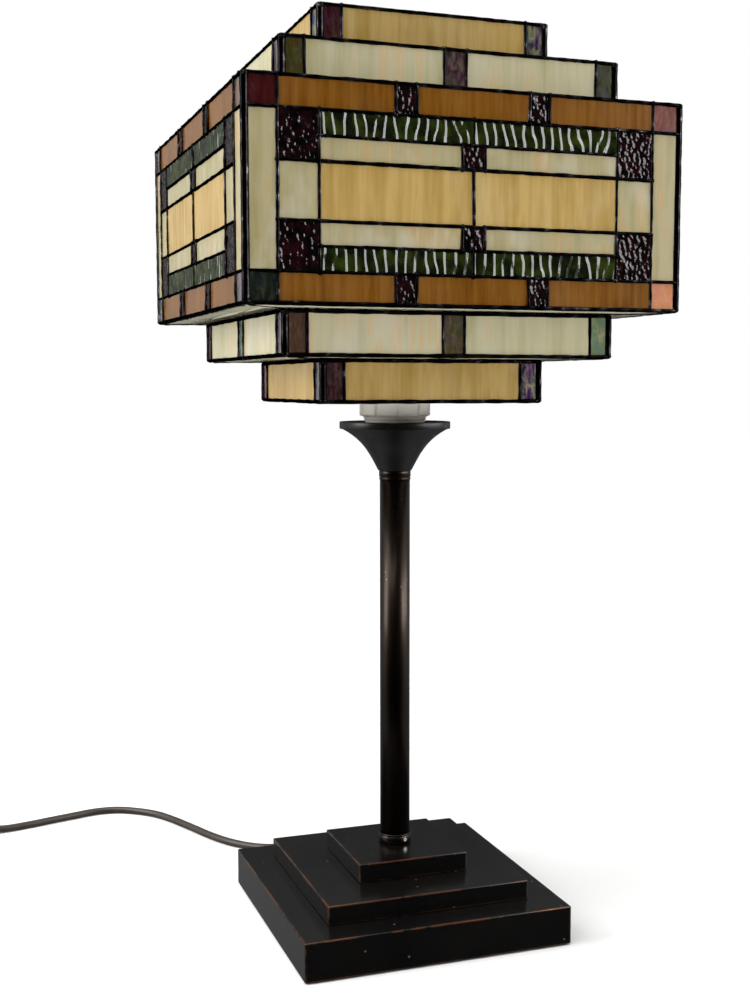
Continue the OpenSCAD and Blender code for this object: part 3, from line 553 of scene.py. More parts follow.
# ---------------------------------------------------------------- shade: panes of glass
# Five square tiers of hand-cut glass, 3 mm thick. The panes are rolled opalescent sheet, rippled
# and hammered cathedral glass, each edged in copper foil and held in the solder lattice.
GLASS_T = 3
GLASS_IN = 1.2
UNDER_SOLDER = 0.5
CUT_EDGE = 1.15
CORNER_END = 3.9
CORNER_W = 15
BORDER = 18
CORNER_X = 113.2
FIELD_X = 90
RIPPLE_Z = 32
FIELD_Z = 45.3
KEY_X = 6.8
BAND_X = 34
BAND_OUT_X = 46.3
tiers = {}
for tier_name in ("hem", "lower", "main", "upper", "crown"):
    low, high = box_mm("came_" + tier_name)
    tiers[tier_name] = (high[0], low[2], high[2] - low[2])
cutter = random.Random(11)


def mirrored(spans):
    """The same panes again on the other half of the wall."""
    return spans + [(-x1, -x0, z0, z1) for x0, x1, z0, z1 in spans]


def glazed(name, node, material, slot, panes, cell, relief, colours=None):
    """Cuts panes [(tier, span)] for all four walls in small cells, each pane a slab whose outer
    face follows a relief in millimetres, with its own patch of the sheet and its own colour."""
    bm = bmesh.new()
    cut = bm.verts.layers.float_vector.new("cut")
    tint = bm.verts.layers.float_color.new("tint")
    for side in range(4):
        for number, (tier_name, (x0, x1, z0, z1)) in enumerate(panes):
            half, foot, tall = tiers[tier_name]
            first = len(bm.verts)
            low = (x0 + UNDER_SOLDER, -half + GLASS_IN, foot + max(z0 + UNDER_SOLDER, 1.2))
            high = (x1 - UNDER_SOLDER, -half + GLASS_IN + GLASS_T, foot + min(z1 - UNDER_SOLDER, tall - 1.2))
            faces = block(bm, low, high)
            for axis in (0, 2):
                edges = {edge for face in faces for edge in face.edges} if axis == 0 else {
                    edge for vert in bm.verts[first:] for edge in vert.link_edges}
                longer_than = 0.6 * (high[axis] - low[axis]) * MM
                along = [edge for edge in edges
                         if abs(edge.verts[0].co[axis] - edge.verts[1].co[axis]) > longer_than]
                count = max(1, round((high[axis] - low[axis]) / cell[axis // 2]))
                if count > 1:
                    bmesh.ops.subdivide_edges(bm, edges=along, cuts=count - 1, use_grid_fill=True)
            made = bm.verts[first:]
            patch = Vector([cutter.uniform(-1, 1) for _ in range(3)])
            lean = [cutter.uniform(-0.15, 0.15) for _ in range(2)]
            shade_of = colours(side, number) if colours else (1, 1, 1, 1)
            middle = [(low[i] + high[i]) / 2 for i in range(3)]
            for vert in made:
                x, y, z = vert.co / MM
                vert[cut] = patch
                vert[tint] = shade_of
                across = ((x - middle[0]) / (high[0] - low[0]) * lean[0]
                          + (z - middle[2]) / (high[2] - low[2]) * lean[1])
                if y < middle[1]:
                    vert.co.y += (across - relief(x, z - middle[2], patch)) * MM
                else:
                    vert.co.y += (across + 0.1 * noise.noise(Vector((x / 8, side * 5, z / 8)))) * MM
            to_wall(bm, made, side)
    for edge in arrises(bm, CUT_EDGE):
        edge.smooth = False
    return joined(name, bm, material, "shade", node, slot=slot)


def rolled(x, z, patch):
    """The slight waviness of rolled sheet, a tenth of a millimetre deep."""
    return 0.11 * noise.noise(Vector((x / 7 + patch.x * 50, patch.y * 50, z / 16)))


def own_patch(tree, place):
    """Object coordinates shifted by each pane's own cut from the sheet."""
    cut_from = add(tree, "Attribute", out="Vector", attribute_name="cut")
    return add(tree, "VectorMath", {0: place, 1: cut_from}, operation="ADD")


def sheet_of(name, streak, stops, clouds, rough, streak_stretch=0.07, **sockets):
    """Opalescent sheet glass: colour streaks of a width in millimetres, drawn upright by the
    rollers, with milky clouds between them, under a fire-polished face."""
    material, tree, shader, place = finish_named(name, IOR=1.52, **sockets)
    place = own_patch(tree, place)
    drawn = add(tree, "Mapping", {"Vector": place, "Scale": (1, 1, streak_stretch)})
    streaks = add(tree, "TexNoise", {"Vector": drawn, "Scale": 1000 / streak, "Detail": 3.0, "Roughness": 0.6})
    broad = add(tree, "TexNoise", {"Vector": place, "Scale": 1000 / 38, "Detail": 2.0})
    tone = add(tree, "Mix", {"Factor": 0.35, "A": streaks, "B": broad}, data_type="FLOAT")
    colour = add(tree, "ValToRGB", {"Fac": tone}, stops=stops)
    cloud_place = add(tree, "Mapping", {"Vector": place, "Scale": (1, 1, 0.45)})
    milk = add(tree, "TexNoise", {"Vector": cloud_place, "Scale": 1000 / 22, "Detail": 3.0})
    milk_mask = add(tree, "MapRange", {"Value": milk, "From Min": 0.52, "From Max": 0.78, "To Max": clouds[0]})
    ream = add(tree, "TexNoise", {"Vector": drawn, "Scale": 1000 / 2.5, "Detail": 1.0})
    feed(shader,
         Base_Color=add(tree, "Mix", {"Factor": milk_mask, "A": colour, "B": clouds[1]}, data_type="RGBA"),
         Roughness=add(tree, "MapRange", {"Value": milk, "To Min": rough, "To Max": rough + 0.12}),
         Normal=add(tree, "Bump", {"Height": ream, "Strength": 0.15, "Distance": 0.0001}))
    return material


main_h = tiers["main"][2]
main_end = tiers["main"][0] - CORNER_END
honey = sheet_of("rolled_opalescent_honey", 5, [
    (0.30, "#A0813F"), (0.46, "#B39455"), (0.58, "#C0A265"), (0.72, "#B58F44")], (0.35, "#CDBE94"), 0.14)
cream = sheet_of("rolled_opalescent_cream", 7, [
    (0.28, "#978A58"), (0.42, "#A49A72"), (0.53, "#AEA580"), (0.60, "#B79D6F"), (0.68, "#B9B18E")],
    (0.75, "#CBC6B8"), 0.14)
pale_cream = sheet_of("rolled_opalescent_pale_cream", 7, [
    (0.28, "#B4A97A"), (0.42, "#C1BA96"), (0.53, "#CBC5A4"), (0.60, "#D4BC92"), (0.68, "#D0CAAC")],
    (0.6, "#DAD8CC"), 0.14)
amber = sheet_of("rolled_opalescent_amber", 3.5, [
    (0.30, "#5C3608"), (0.48, "#744911"), (0.60, "#80551F"), (0.74, "#6B430C")], (0.2, "#946A3E"), 0.12)
honey_panes = [("main", span) for span in mirrored([(0, FIELD_X, FIELD_Z, main_h - FIELD_Z)])]
for tier_name in ("hem", "crown"):
    strip = tiers[tier_name][0] - CORNER_W
    honey_panes.append((tier_name, (-strip, strip, 0, tiers[tier_name][2])))
glazed("honey_panes", "glass_honey", honey, "honey_glass", honey_panes, (4.5, 4.5), rolled)

cream_panes = [("main", span) for span in mirrored([
    (CORNER_X, main_end, BORDER, main_h - BORDER), (FIELD_X, CORNER_X, FIELD_Z, main_h - FIELD_Z),
    (KEY_X, FIELD_X, RIPPLE_Z, FIELD_Z), (KEY_X, FIELD_X, main_h - FIELD_Z, main_h - RIPPLE_Z)])]
glazed("cream_panes_main", "glass_cream_main", cream, "cream_glass", cream_panes, (4.5, 4.5), rolled)
cream_tier_panes = [(tier_name, span) for tier_name in ("lower", "upper")
                    for span in mirrored([(KEY_X, tiers[tier_name][0] - CORNER_W, 0, tiers[tier_name][2])])]
glazed("cream_panes_tiers", "glass_cream_tiers", pale_cream, "cream_glass", cream_tier_panes,
       (4.5, 4.5), rolled)

band_spans = mirrored([(BAND_OUT_X, CORNER_X, 0, BORDER), (BAND_OUT_X, CORNER_X, main_h - BORDER, main_h)]) + [
    (-BAND_X, BAND_X, 0, BORDER), (-BAND_X, BAND_X, main_h - BORDER, main_h)]
glazed("amber_panes", "glass_amber", amber, "amber_glass", [("main", span) for span in band_spans],
       (4.5, 4.5), rolled)

# ---------------------------------------------------------------- shade: rippled and hammered panes
# Cathedral glass rolled on patterned rollers: olive strips with upright ripples 6 mm apart, and
# plum-black squares and keys hammered in dimples 2 mm wide. Both catch the light in bright lines.
RIPPLE_PITCH = 5.9
RIPPLE_DEPTH = 0.8
DIMPLE_W = 2.2
DIMPLE_DEPTH = 1.3


def rippled(x, z, patch):
    """Upright waves that lean and wander a little, sharper on their crests."""
    wander = 0.34 * noise.noise(Vector((x / 14 + patch.x * 40, z / 9, patch.y * 40)))
    lean = 0.8 * noise.noise(Vector((x / 13, patch.z * 30, 3.1)))
    wave = 0.5 + 0.5 * math.cos(2 * math.pi * ((x + lean * z) / RIPPLE_PITCH + wander))
    return RIPPLE_DEPTH * (wave ** 3 - 0.3)


def hammered(x, z, patch):
    """Round dimples in a close uneven pattern, with ridges between them."""
    spot = Vector((x / DIMPLE_W + patch.x * 60, z / (DIMPLE_W * 1.5), patch.y * 60))
    nearest = noise.voronoi(spot)[0][0]
    return DIMPLE_DEPTH * (min(nearest, 0.8) ** 1.4 - 0.3)


def cathedral(name, dark, light, patch_mm, pluck, **sockets):
    """Tinted clear glass drawn opaque: its deep colour is the sheet's tint together with painted shade, the
    dark inside of the lamp seen through it, under a bright wet gloss. Its face is plucked by the roller to a
    depth in metres."""
    material, tree, shader, place = finish_named(name, IOR=1.54, Roughness=0.05, **sockets)
    place = own_patch(tree, place)
    depth = add(tree, "TexNoise", {"Vector": place, "Scale": 1000 / patch_mm, "Detail": 3.0})
    mask = add(tree, "MapRange", {"Value": depth, "From Min": 0.4, "From Max": 0.68})
    grain = add(tree, "TexNoise", {"Vector": place, "Scale": 1000 / 1.8, "Detail": 1.0})
    feed(shader, Base_Color=add(tree, "Mix", {"Factor": mask, "A": dark, "B": light}, data_type="RGBA"),
         Normal=add(tree, "Bump", {"Height": grain, "Distance": pluck}))
    return material


# the near-black olive and plum are partly painted shade: the lamp's dark inside, as seen through clear tinted
# glass
olive = cathedral("rippled_cathedral_olive", "#10160A", "#2F3A12", 9, 0.00002, Specular_IOR_Level=0.4)
plum = cathedral("hammered_cathedral_plum", "#060506", "#220A0E", 7, 0.0003, Specular_IOR_Level=0.24)
ripple_spans = mirrored([(0, FIELD_X, BORDER, RIPPLE_Z), (0, FIELD_X, main_h - RIPPLE_Z, main_h - BORDER)])
glazed("ripple_panes", "glass_ripple", olive, "ripple_glass", [("main", span) for span in ripple_spans],
       (0.45, 2.4), rippled)
hammered_spans = mirrored([
    (BAND_X, BAND_OUT_X, 0, BORDER), (BAND_X, BAND_OUT_X, main_h - BORDER, main_h),
    (FIELD_X, CORNER_X, BORDER, FIELD_Z), (FIELD_X, CORNER_X, main_h - FIELD_Z, main_h - BORDER)]) + [
    (-KEY_X, KEY_X, RIPPLE_Z, FIELD_Z), (-KEY_X, KEY_X, main_h - FIELD_Z, main_h - RIPPLE_Z)]
glazed("hammered_panes", "glass_hammered", plum, "hammered_glass", [("main", span) for span in hammered_spans],
       (0.7, 0.7), hammered)

# ---------------------------------------------------------------- shade: coloured corner panes
# Small strips of glass at the corners and centres, each cut from another sheet: maroon, ruby,
# copper, bottle green, plum and slate, some of them fumed so that the face shimmers.
main_colours = {0: (("#C98058", 0.3), ("#6C2F26", 0.14), ("#141812", 0.06), ("#3A090C", 0.03))}
tier_colours = {"lower": (("#6F7F5A", 0.7), ("#4E3226", 0.1), ("#463C20", 0.15)),
                "upper": (("#33320F", 0.1), ("#413A16", 0.08), ("#3A1A2A", 0.2)),
                "hem": (("#331646", 0.6), ("#330A1C", 0.1)), "crown": (("#141A22", 0.5), ("#3A0E18", 0.1))}
spare_colours = (("#4E404C", 0.5), ("#4A1A20", 0.2), ("#3A4634", 0.6), ("#55454E", 0.3), ("#59392A", 0.2),
                 ("#2A2E38", 0.6))


def main_accent_colour(side, number):
    """Corner colours of a main wall: the front's are set, the others come from the spare sheets."""
    chosen = main_colours.get(side)
    return srgb(*(chosen[number % 4] if chosen else spare_colours[(3 * side + number) % 6]))


main_accents = [("main", span) for span in mirrored([
    (CORNER_X, main_end, 0, BORDER), (CORNER_X, main_end, main_h - BORDER, main_h)])]
tier_accents = []
for tier_name in ("lower", "upper", "hem", "crown"):
    half, foot, tall = tiers[tier_name]
    tier_accents += [(tier_name, span) for span in mirrored([(half - CORNER_W, half - CORNER_END, 0, tall)])]
    if tier_name in ("lower", "upper"):
        tier_accents.append((tier_name, (-KEY_X, KEY_X, 0, tall)))


def tier_accent_colour(side, number):
    """Corner and centre colours of the narrow tiers, in the order of their panes."""
    tier_name, span = tier_accents[number]
    palette = tier_colours[tier_name]
    place = 2 if span[0] < 0 < span[1] else (0 if span[0] > 0 else 1)
    return srgb(*(palette[place % len(palette)] if side == 0 else spare_colours[(2 * side + number) % 6]))


# fumed streaky glass: a deep sheet colour under a thin metal film that shimmers blue, green and
# violet in patches; each pane's own colour has the strength of its film in the fourth value
fumed, tree, shader, place = finish_named("fumed_streaky_glass", IOR=1.52, Coat_Weight=0.6,
                                           Coat_Roughness=0.06)
place = own_patch(tree, place)
fumed_drawn = add(tree, "Mapping", {"Vector": place, "Scale": (1, 1, 0.35)})
swirl = add(tree, "TexNoise", {"Vector": fumed_drawn, "Scale": 1000 / 2.63, "Detail": 4.0, "Distortion": 0.6})
pane_tint = add(tree, "Attribute", attribute_name="tint")
film_place = add(tree, "Mapping", {"Vector": place, "Scale": (1, 1, 0.6)})
film_depth = add(tree, "TexNoise", {"Vector": film_place, "Scale": 1000 / 9.09, "Detail": 3.0,
                                    "Distortion": 0.5})
film_hue = add(tree, "ValToRGB", {"Fac": film_depth}, stops=[
    (0.36, "#4A6C96"), (0.45, "#6A8F6E"), (0.54, "#B9B488"), (0.62, "#8A5A9A"), (0.70, "#5E86A8")])
film_patch = add(tree, "MapRange", {"Value": swirl, "From Min": 0.38, "From Max": 0.66})
film_mask = add(tree, "Math", {0: film_patch, 1: pane_tint.node.outputs["Alpha"]}, operation="MULTIPLY")
feed(shader,
     Base_Color=add(tree, "Mix", {"Factor": film_mask, "A": pane_tint, "B": film_hue}, data_type="RGBA"),
     Roughness=add(tree, "MapRange", {"Value": swirl, "To Min": 0.10, "To Max": 0.30}))
glazed("accent_panes_main", "glass_accent_main", fumed, "accent_glass", main_accents, (4, 4), rolled,
       main_accent_colour)
glazed("accent_panes_tiers", "glass_accent_tiers", fumed, "accent_glass", tier_accents, (3, 5), rolled,
       tier_accent_colour)

# ---------------------------------------------------------------- shade: solder lattice
# Runs of tin-lead solder over the copper foil, flooded by hand: each run swells and sinks along
# its length, and puddles where runs meet. Black patina leaves them dark with a silvery gloss.
CAME_T = 5.4
BEAD_R = 2.3
RUN_STEP = 2.2
RUN_SIDES = 10
LINE_HALF = 1.25
EDGE_HALF = 1.4
# patinated solder: near-black film over bright metal, thin on the crests
solder, tree, shader, place = finish_named("black_patina_solder", Metallic=1.0, Specular_Tint=srgb("#4A4A4A"))
patina = add(tree, "TexNoise", {"Vector": place, "Scale": 1000 / 6.25, "Detail": 4.0})
ripple_marks = add(tree, "TexNoise", {"Vector": place, "Scale": 1000 / 2.08, "Detail": 2.0})
feed(shader, Base_Color=add(tree, "ValToRGB", {"Fac": patina},
                            stops=[(0.40, "#141314"), (0.58, "#262325"), (0.72, "#625E60")]),
     Roughness=add(tree, "MapRange", {"Value": patina, "To Min": 0.12, "To Max": 0.34}),
     Normal=add(tree, "Bump", {"Height": ripple_marks, "Strength": 0.25, "Distance": 0.00025}))


def lumpy(verts, axis_start, axis_way, amount):
    """Swells and shifts the rings of a run along its length, the way molten solder settles."""
    for vert in verts:
        along = (vert.co - axis_start).dot(axis_way)
        centre = axis_start + axis_way * along
        spot = vert.co / MM
        swell = 1 + amount * noise.noise(centre / MM / 6.5) + 0.35 * amount * noise.noise(spot / 2.4)
        drift = Vector([noise.noise(centre / MM / 11 + Vector((7 * k, 3, 1))) for k in (1, 2, 3)])
        vert.co = centre + (vert.co - centre) * swell + drift * amount * MM


def run(bm, start, end, outward, wide, deep, amount=0.16):
    """A run of solder between two points in millimetres, oval in section."""
    start, end, outward = Vector(start) * MM, Vector(end) * MM, Vector(outward)
    way = (end - start).normalized()
    length = (end - start).length
    across = outward.cross(way)
    shape = Matrix((across * wide * MM, outward * deep * MM, way * length)).transposed().to_4x4()
    first = len(bm.verts)
    bmesh.ops.create_cone(bm, cap_ends=True, segments=RUN_SIDES, radius1=1, radius2=1, depth=1,
                          matrix=Matrix.Translation((start + end) / 2) @ shape)
    made = bm.verts[first:]
    sides = {edge for vert in made for edge in vert.link_edges
             if abs((edge.verts[0].co - edge.verts[1].co).dot(way)) > 0.5 * length}
    cuts = max(1, round(length / MM / RUN_STEP)) - 1
    if cuts:
        bmesh.ops.subdivide_edges(bm, edges=list(sides), cuts=cuts, use_grid_fill=True)
    lumpy(bm.verts[first:], start, way, amount)


def puddle(bm, centre, outward, radius, deep):
    """A flattened drop of solder where runs meet."""
    turn = Vector(outward).to_track_quat("Z", "Y").to_matrix().to_4x4()
    shape = Matrix.Diagonal((radius * MM, radius * MM, deep * MM, 1))
    first = len(bm.verts)
    bmesh.ops.create_icosphere(bm, subdivisions=2, radius=1,
                               matrix=Matrix.Translation(Vector(centre) * MM) @ turn @ shape)
    for vert in bm.verts[first:]:
        from_centre = vert.co - Vector(centre) * MM
        vert.co = Vector(centre) * MM + from_centre * (1 + 0.14 * noise.noise(vert.co / MM / 1.8))


def both(values):
    """Values and their opposites."""
    return [sign * value for value in values for sign in (-1, 1)]


def lattice(tier_name):
    """Upright lines (x, z from, z to) and level lines (z, x from, x to) of a tier's wall."""
    half, foot, tall = tiers[tier_name]
    end = half - BEAD_R
    if tier_name != "main":
        uprights = both([half - CORNER_W]) + (both([KEY_X]) if tier_name in ("lower", "upper") else [])
        return [(x, 0, tall) for x in uprights], [(1.3, -end, end), (tall - 1.3, -end, end)]
    uprights = [(x, 0, tall) for x in both([CORNER_X])] + [(x, BORDER, tall - BORDER) for x in both([FIELD_X])]
    uprights += [(0, FIELD_Z, tall - FIELD_Z), (0, BORDER, RIPPLE_Z), (0, tall - RIPPLE_Z, tall - BORDER)]
    for low_z, high_z in ((RIPPLE_Z, FIELD_Z), (tall - FIELD_Z, tall - RIPPLE_Z)):
        uprights += [(x, low_z, high_z) for x in both([KEY_X])]
    for low_z, high_z in ((0, BORDER), (tall - BORDER, tall)):
        uprights += [(x, low_z, high_z) for x in both([BAND_X, BAND_OUT_X])]
    levels = [(1.3, -end, end), (tall - 1.3, -end, end), (BORDER, -end, end), (tall - BORDER, -end, end)]
    levels += [(z, -FIELD_X, FIELD_X) for z in (RIPPLE_Z, tall - RIPPLE_Z)]
    levels += [(z, -CORNER_X, CORNER_X) for z in (FIELD_Z, tall - FIELD_Z)]
    return uprights, levels


for tier_name, (half, foot, tall) in tiers.items():
    bm = bmesh.new()
    uprights, levels = lattice(tier_name)
    y = -half + CAME_T / 2
    for side in range(4):
        first = len(bm.verts)
        for x, z0, z1 in uprights:
            jog = cutter.uniform(-0.25, 0.25)
            thick = LINE_HALF * cutter.uniform(0.9, 1.15)
            run(bm, (x + jog, y, foot + z0), (x - jog, y, foot + z1), (0, -1, 0), thick, CAME_T / 2)
        for z, x0, x1 in levels:
            on_edge = z < 2 or z > tall - 2
            jog = 0 if on_edge else cutter.uniform(-0.3, 0.3)
            thick = EDGE_HALF if on_edge else LINE_HALF * cutter.uniform(0.9, 1.15)
            run(bm, (x0, y, foot + z + jog), (x1, y, foot + z - jog), (0, -1, 0), thick, CAME_T / 2)
            for x, z0, z1 in uprights:
                if x0 - 1 <= x <= x1 + 1 and z0 - 2 <= z <= z1 + 2 and not on_edge:
                    puddle(bm, (x, y, foot + z), (0, -1, 0), cutter.uniform(1.7, 2.2), CAME_T / 2 + 0.15)
        to_wall(bm, bm.verts[first:], side)
    joined("solder_lattice_" + tier_name, bm, solder, "shade", "came_" + tier_name, slot="solder")

corner_bm = bmesh.new()
for half, foot, tall in tiers.values():
    for x, y in ((-1, -1), (1, -1), (1, 1), (-1, 1)):
        spot = (x * (half - BEAD_R), y * (half - BEAD_R))
        run(corner_bm, (*spot, foot + 1.2), (*spot, foot + tall - 1.2), (x * 0.7071, y * 0.7071, 0),
            BEAD_R, BEAD_R + 0.2, 0.12)
        for z in (foot + 1.8, foot + tall - 1.8):
            puddle(corner_bm, (*spot, z), (0, 0, 1), BEAD_R + 0.25, 1.9)
joined("solder_corners", corner_bm, solder, "shade", "corner_beads", slot="solder")

# ---------------------------------------------------------------- shade: ledges
# Level panes of pale glass join each tier to the next, four to a ledge with mitred corners. They
# are the same opalescent sheet, thinner in colour, soldered along the mitres.
LEDGE_REST = 0.1
ledge_sheet = sheet_of("pale_opalescent_ledge", 9, [(0.3, "#8E8B74"), (0.5, "#A29F88"), (0.75, "#B4B29E")],
                       (0.5, "#C2C1B6"), 0.02, 0.6)
ledges = (("hem", "lower", "hem", False), ("lower", "main", "lower", False),
          ("upper", "main", "upper", True), ("crown", "upper", "crown", True))
mitre_bm = bmesh.new()
for ledge_name, wide_tier, narrow_tier, on_top in ledges:
    outer = tiers[wide_tier][0] - CAME_T - 0.2
    inner = tiers[narrow_tier][0] - CAME_T
    ledge_z = tiers[narrow_tier][1] - GLASS_T - LEDGE_REST if on_top else tiers[wide_tier][1] + LEDGE_REST
    bm = bmesh.new()
    cut = bm.verts.layers.float_vector.new("cut")
    for side in range(4):
        first = len(bm.verts)
        block(bm, (-inner, -outer, ledge_z), (inner, -inner, ledge_z + GLASS_T))
        made = bm.verts[first:]
        for vert in made:
            reach = outer if vert.co.y < -(outer + inner) / 2 * MM else inner
            vert.co.x = math.copysign((reach - 0.9) * MM, vert.co.x)
        long_edges = {edge for vert in made for edge in vert.link_edges if edge.calc_length() > 60 * MM}
        bmesh.ops.subdivide_edges(bm, edges=list(long_edges), cuts=20, use_grid_fill=True)
        made = bm.verts[first:]
        patch = Vector([cutter.uniform(-1, 1) for _ in range(3)])
        for vert in made:
            vert[cut] = patch
            vert.co.z += 0.12 * MM * noise.noise(vert.co / MM / 12 + patch * 20)
        to_wall(bm, made, side)
    joined("ledge_" + ledge_name + "_panes", bm, ledge_sheet, "shade", "ledge_" + ledge_name,
           slot="ledge_glass")
    for x, y in ((-1, -1), (1, -1), (1, 1), (-1, 1)):
        z = ledge_z + GLASS_T / 2
        run(mitre_bm, (x * (outer + 1), y * (outer + 1), z), (x * (inner - 1), y * (inner - 1), z), (0, 0, 1),
            1.5, 2.0)
joined("solder_mitres", mitre_bm, solder, "shade", "ledge_beads", slot="solder")

# ---------------------------------------------------------------- bulb
# A candle-shaped filament bulb with a screw cap: a clear blown envelope, a pressed aluminium cap
# with a rolled thread, and four sticks of phosphor on a glass stalk.
BULB_CAP_H = 25
glass_low, glass_high = box_mm("bulb_glass")
bulb_z = box_mm("bulb_cap")[0][2] - 1.6
ENVELOPE_STEPS = 30


def envelope_point(t):
    """Radius and height of the candle envelope at a fraction of its height."""
    return (max(12.2 * (1 - t) + 9.5 * math.sin(math.pi * t ** 0.8), 0),
            glass_low[2] + (glass_high[2] - glass_low[2]) * t)


# blown soda-lime glass: clear, with a faint green in its edges
clear = grained("blown_clear_glass", 11.1, 2, "#F4F8F5", "#FDFEFD", rough=(0.01, 0.04), IOR=1.46,
                Transmission_Weight=1.0)
envelope_bm = turned([envelope_point(i / ENVELOPE_STEPS) for i in range(ENVELOPE_STEPS)]
                     + [(0, glass_high[2])])
bmesh.ops.solidify(envelope_bm, geom=envelope_bm.faces[:], thickness=0.9 * MM)
joined("bulb_envelope", envelope_bm, clear, "bulb", "bulb_glass", slot="bulb_glass")

cap_profile = [(0, bulb_z + 1.7), (6, bulb_z + 1.7), (12.0, bulb_z + 5.1)]
cap_profile += [(12.2, bulb_z + 5.4 + 13.6 * i / 34) for i in range(35)]
cap_profile += [(12.25, bulb_z + 19.6), (12.25, bulb_z + 24.2), (12.7, bulb_z + 24.5),
                (12.7, bulb_z + BULB_CAP_H), (0, bulb_z + BULB_CAP_H)]
cap_bm = turned(cap_profile, 72)
for vert in cap_bm.verts:
    radius = vert.co.xy.length / MM
    height = vert.co.z / MM - bulb_z
    if radius > 12.1 and 5.3 < height < 19.2:
        angle = math.atan2(vert.co.y, vert.co.x) / (2 * math.pi)
        fade = max(0, min(1, (height - 5.4) / 2, (19.0 - height) / 2))
        crest = 0.5 + 0.5 * math.cos(2 * math.pi * ((height - 5) / 3.6 - angle))
        vert.co.xy *= (12.2 + 0.7 * fade * crest) / radius
joined("bulb_screw_cap", cap_bm, nickel, "bulb", "bulb_cap", slot="nickel")

# phosphor-coated sticks: chalky yellow with a slightly uneven coat
phosphor = grained("phosphor_coating", 1.11, 3, "#D9A62E", "#F2D264", Roughness=0.7)
stalk_z = bulb_z + BULB_CAP_H
stalk_bm = turned([(radius, stalk_z + height) for radius, height in (
    (0, 0.3), (3, 0.3), (2.6, 5), (2.2, 9.6), (4.8, 10), (5, 10.8), (4.8, 11.5), (0, 11.6))], 32)
for angle in range(4):
    x, y = 4 * math.cos(angle * math.pi / 2), 4 * math.sin(angle * math.pi / 2)
    first = len(stalk_bm.verts)
    bmesh.ops.create_cone(stalk_bm, cap_ends=True, segments=12, radius1=0.8 * MM, radius2=0.8 * MM,
                          depth=34 * MM,
                          matrix=Matrix.Translation((x * MM, y * MM, (stalk_z + 28) * MM)))
    ends = [edge for vert in stalk_bm.verts[first:] for edge in vert.link_edges
            if abs(edge.verts[0].co.z - edge.verts[1].co.z) < 0.001 * MM]
    eased(stalk_bm, set(ends), 0.25, 2)
crown_bm = turned([(radius, stalk_z + height) for radius, height in (
    (0, 44.5), (4.6, 44.5), (5, 44.8), (5, 45.2), (4.6, 45.5), (0, 45.5))], 32)
crown_mesh = bpy.data.meshes.new("bulb_spreader")
crown_bm.to_mesh(crown_mesh)
crown_bm.free()
stalk_bm.from_mesh(crown_mesh)
bpy.data.meshes.remove(crown_mesh)
joined("bulb_filaments", stalk_bm, phosphor, "bulb", "led_filaments", slot="filament")

# ---------------------------------------------------------------- grommet
# A black rubbery sleeve that anchors the cord in the back wall, tapered so that the cord can't
# kink at the edge. Raised rings along it let it bend.
exit_x, exit_y, exit_z = [value / MM for value in cord_exit]
# moulded flexible PVC: black, satin, with the faint grain of the tool
rubber, tree, shader, place = finish_named("moulded_soft_pvc", IOR=1.52)
rubber_grain = add(tree, "TexNoise", {"Vector": place, "Scale": 1000 / 0.77, "Detail": 3.0})
rubber_cloud = add(tree, "TexNoise", {"Vector": place, "Scale": 1000 / 14.3, "Detail": 3.0})
feed(shader,
     Base_Color=add(tree, "Mix", {"Factor": rubber_cloud, "A": "#131313", "B": "#242322"}, data_type="RGBA"),
     Roughness=add(tree, "MapRange", {"Value": rubber_grain, "To Min": 0.38, "To Max": 0.55}),
     Normal=add(tree, "Bump", {"Height": rubber_grain, "Strength": 0.2, "Distance": 0.00006}))


def laid_along(bm, origin, way):
    """Lays a turned shape down, with its foot at a point and its axis along a direction."""
    turn = Vector(way).to_track_quat("Z", "X").to_matrix().to_4x4()
    bmesh.ops.transform(bm, matrix=Matrix.Translation(Vector(origin) * MM) @ turn, verts=bm.verts)
    return bm


bore = CORD_D / MM / 2 + 0.1
sleeve = [(bore, -6.5), (6.6, -6.5), (6.6, -5.1), (5.1, -5.1), (5.1, 0.1), (7, 0.1), (7, 1.6),
          (6.4, 2.1), (4.9, 2.6)]
for i in range(5):
    start = 4 + 4 * i
    root = 4.7 - 0.28 * i
    sleeve += [(root, start), (root - 0.7, start + 0.5), (root - 0.7, start + 1.6),
               (root - 0.1, start + 2.1), (root - 0.1, start + 3)]
sleeve += [(3.5, 24), (bore, 24)]
joined("cord_sleeve", laid_along(turned(sleeve, 40), (exit_x, exit_y, exit_z), (0, 1, 0)), rubber, "stand",
       "cord_grommet", slot="black_plastic")

# ---------------------------------------------------------------- in-line switch
# A two-part moulded body screwed together over the cord, with a rocker that tips on a cross pin.
# A shadow line runs round it where the halves meet.
base_low, base_high = box_mm("switch_base")
lid_low, lid_high = box_mm("switch_cover")
rocker_low, rocker_high = box_mm("switch_rocker")
# moulded ABS: black with an even fine spark-eroded grain, smoother where it is handled
moulded, tree, shader, place = finish_named("moulded_black_abs", IOR=1.53)
spark_grain = add(tree, "TexNoise", {"Vector": place, "Scale": 1000 / 0.588, "Detail": 2.0})
handled = add(tree, "TexNoise", {"Vector": place, "Scale": 1000 / 12.5, "Detail": 3.0})
feed(shader,
     Base_Color=add(tree, "Mix", {"Factor": handled, "A": "#151515", "B": "#222221"}, data_type="RGBA"),
     Roughness=add(tree, "MapRange", {"Value": handled, "To Min": 0.42, "To Max": 0.30}),
     Normal=add(tree, "Bump", {"Height": spark_grain, "Strength": 0.3, "Distance": 0.00005}))


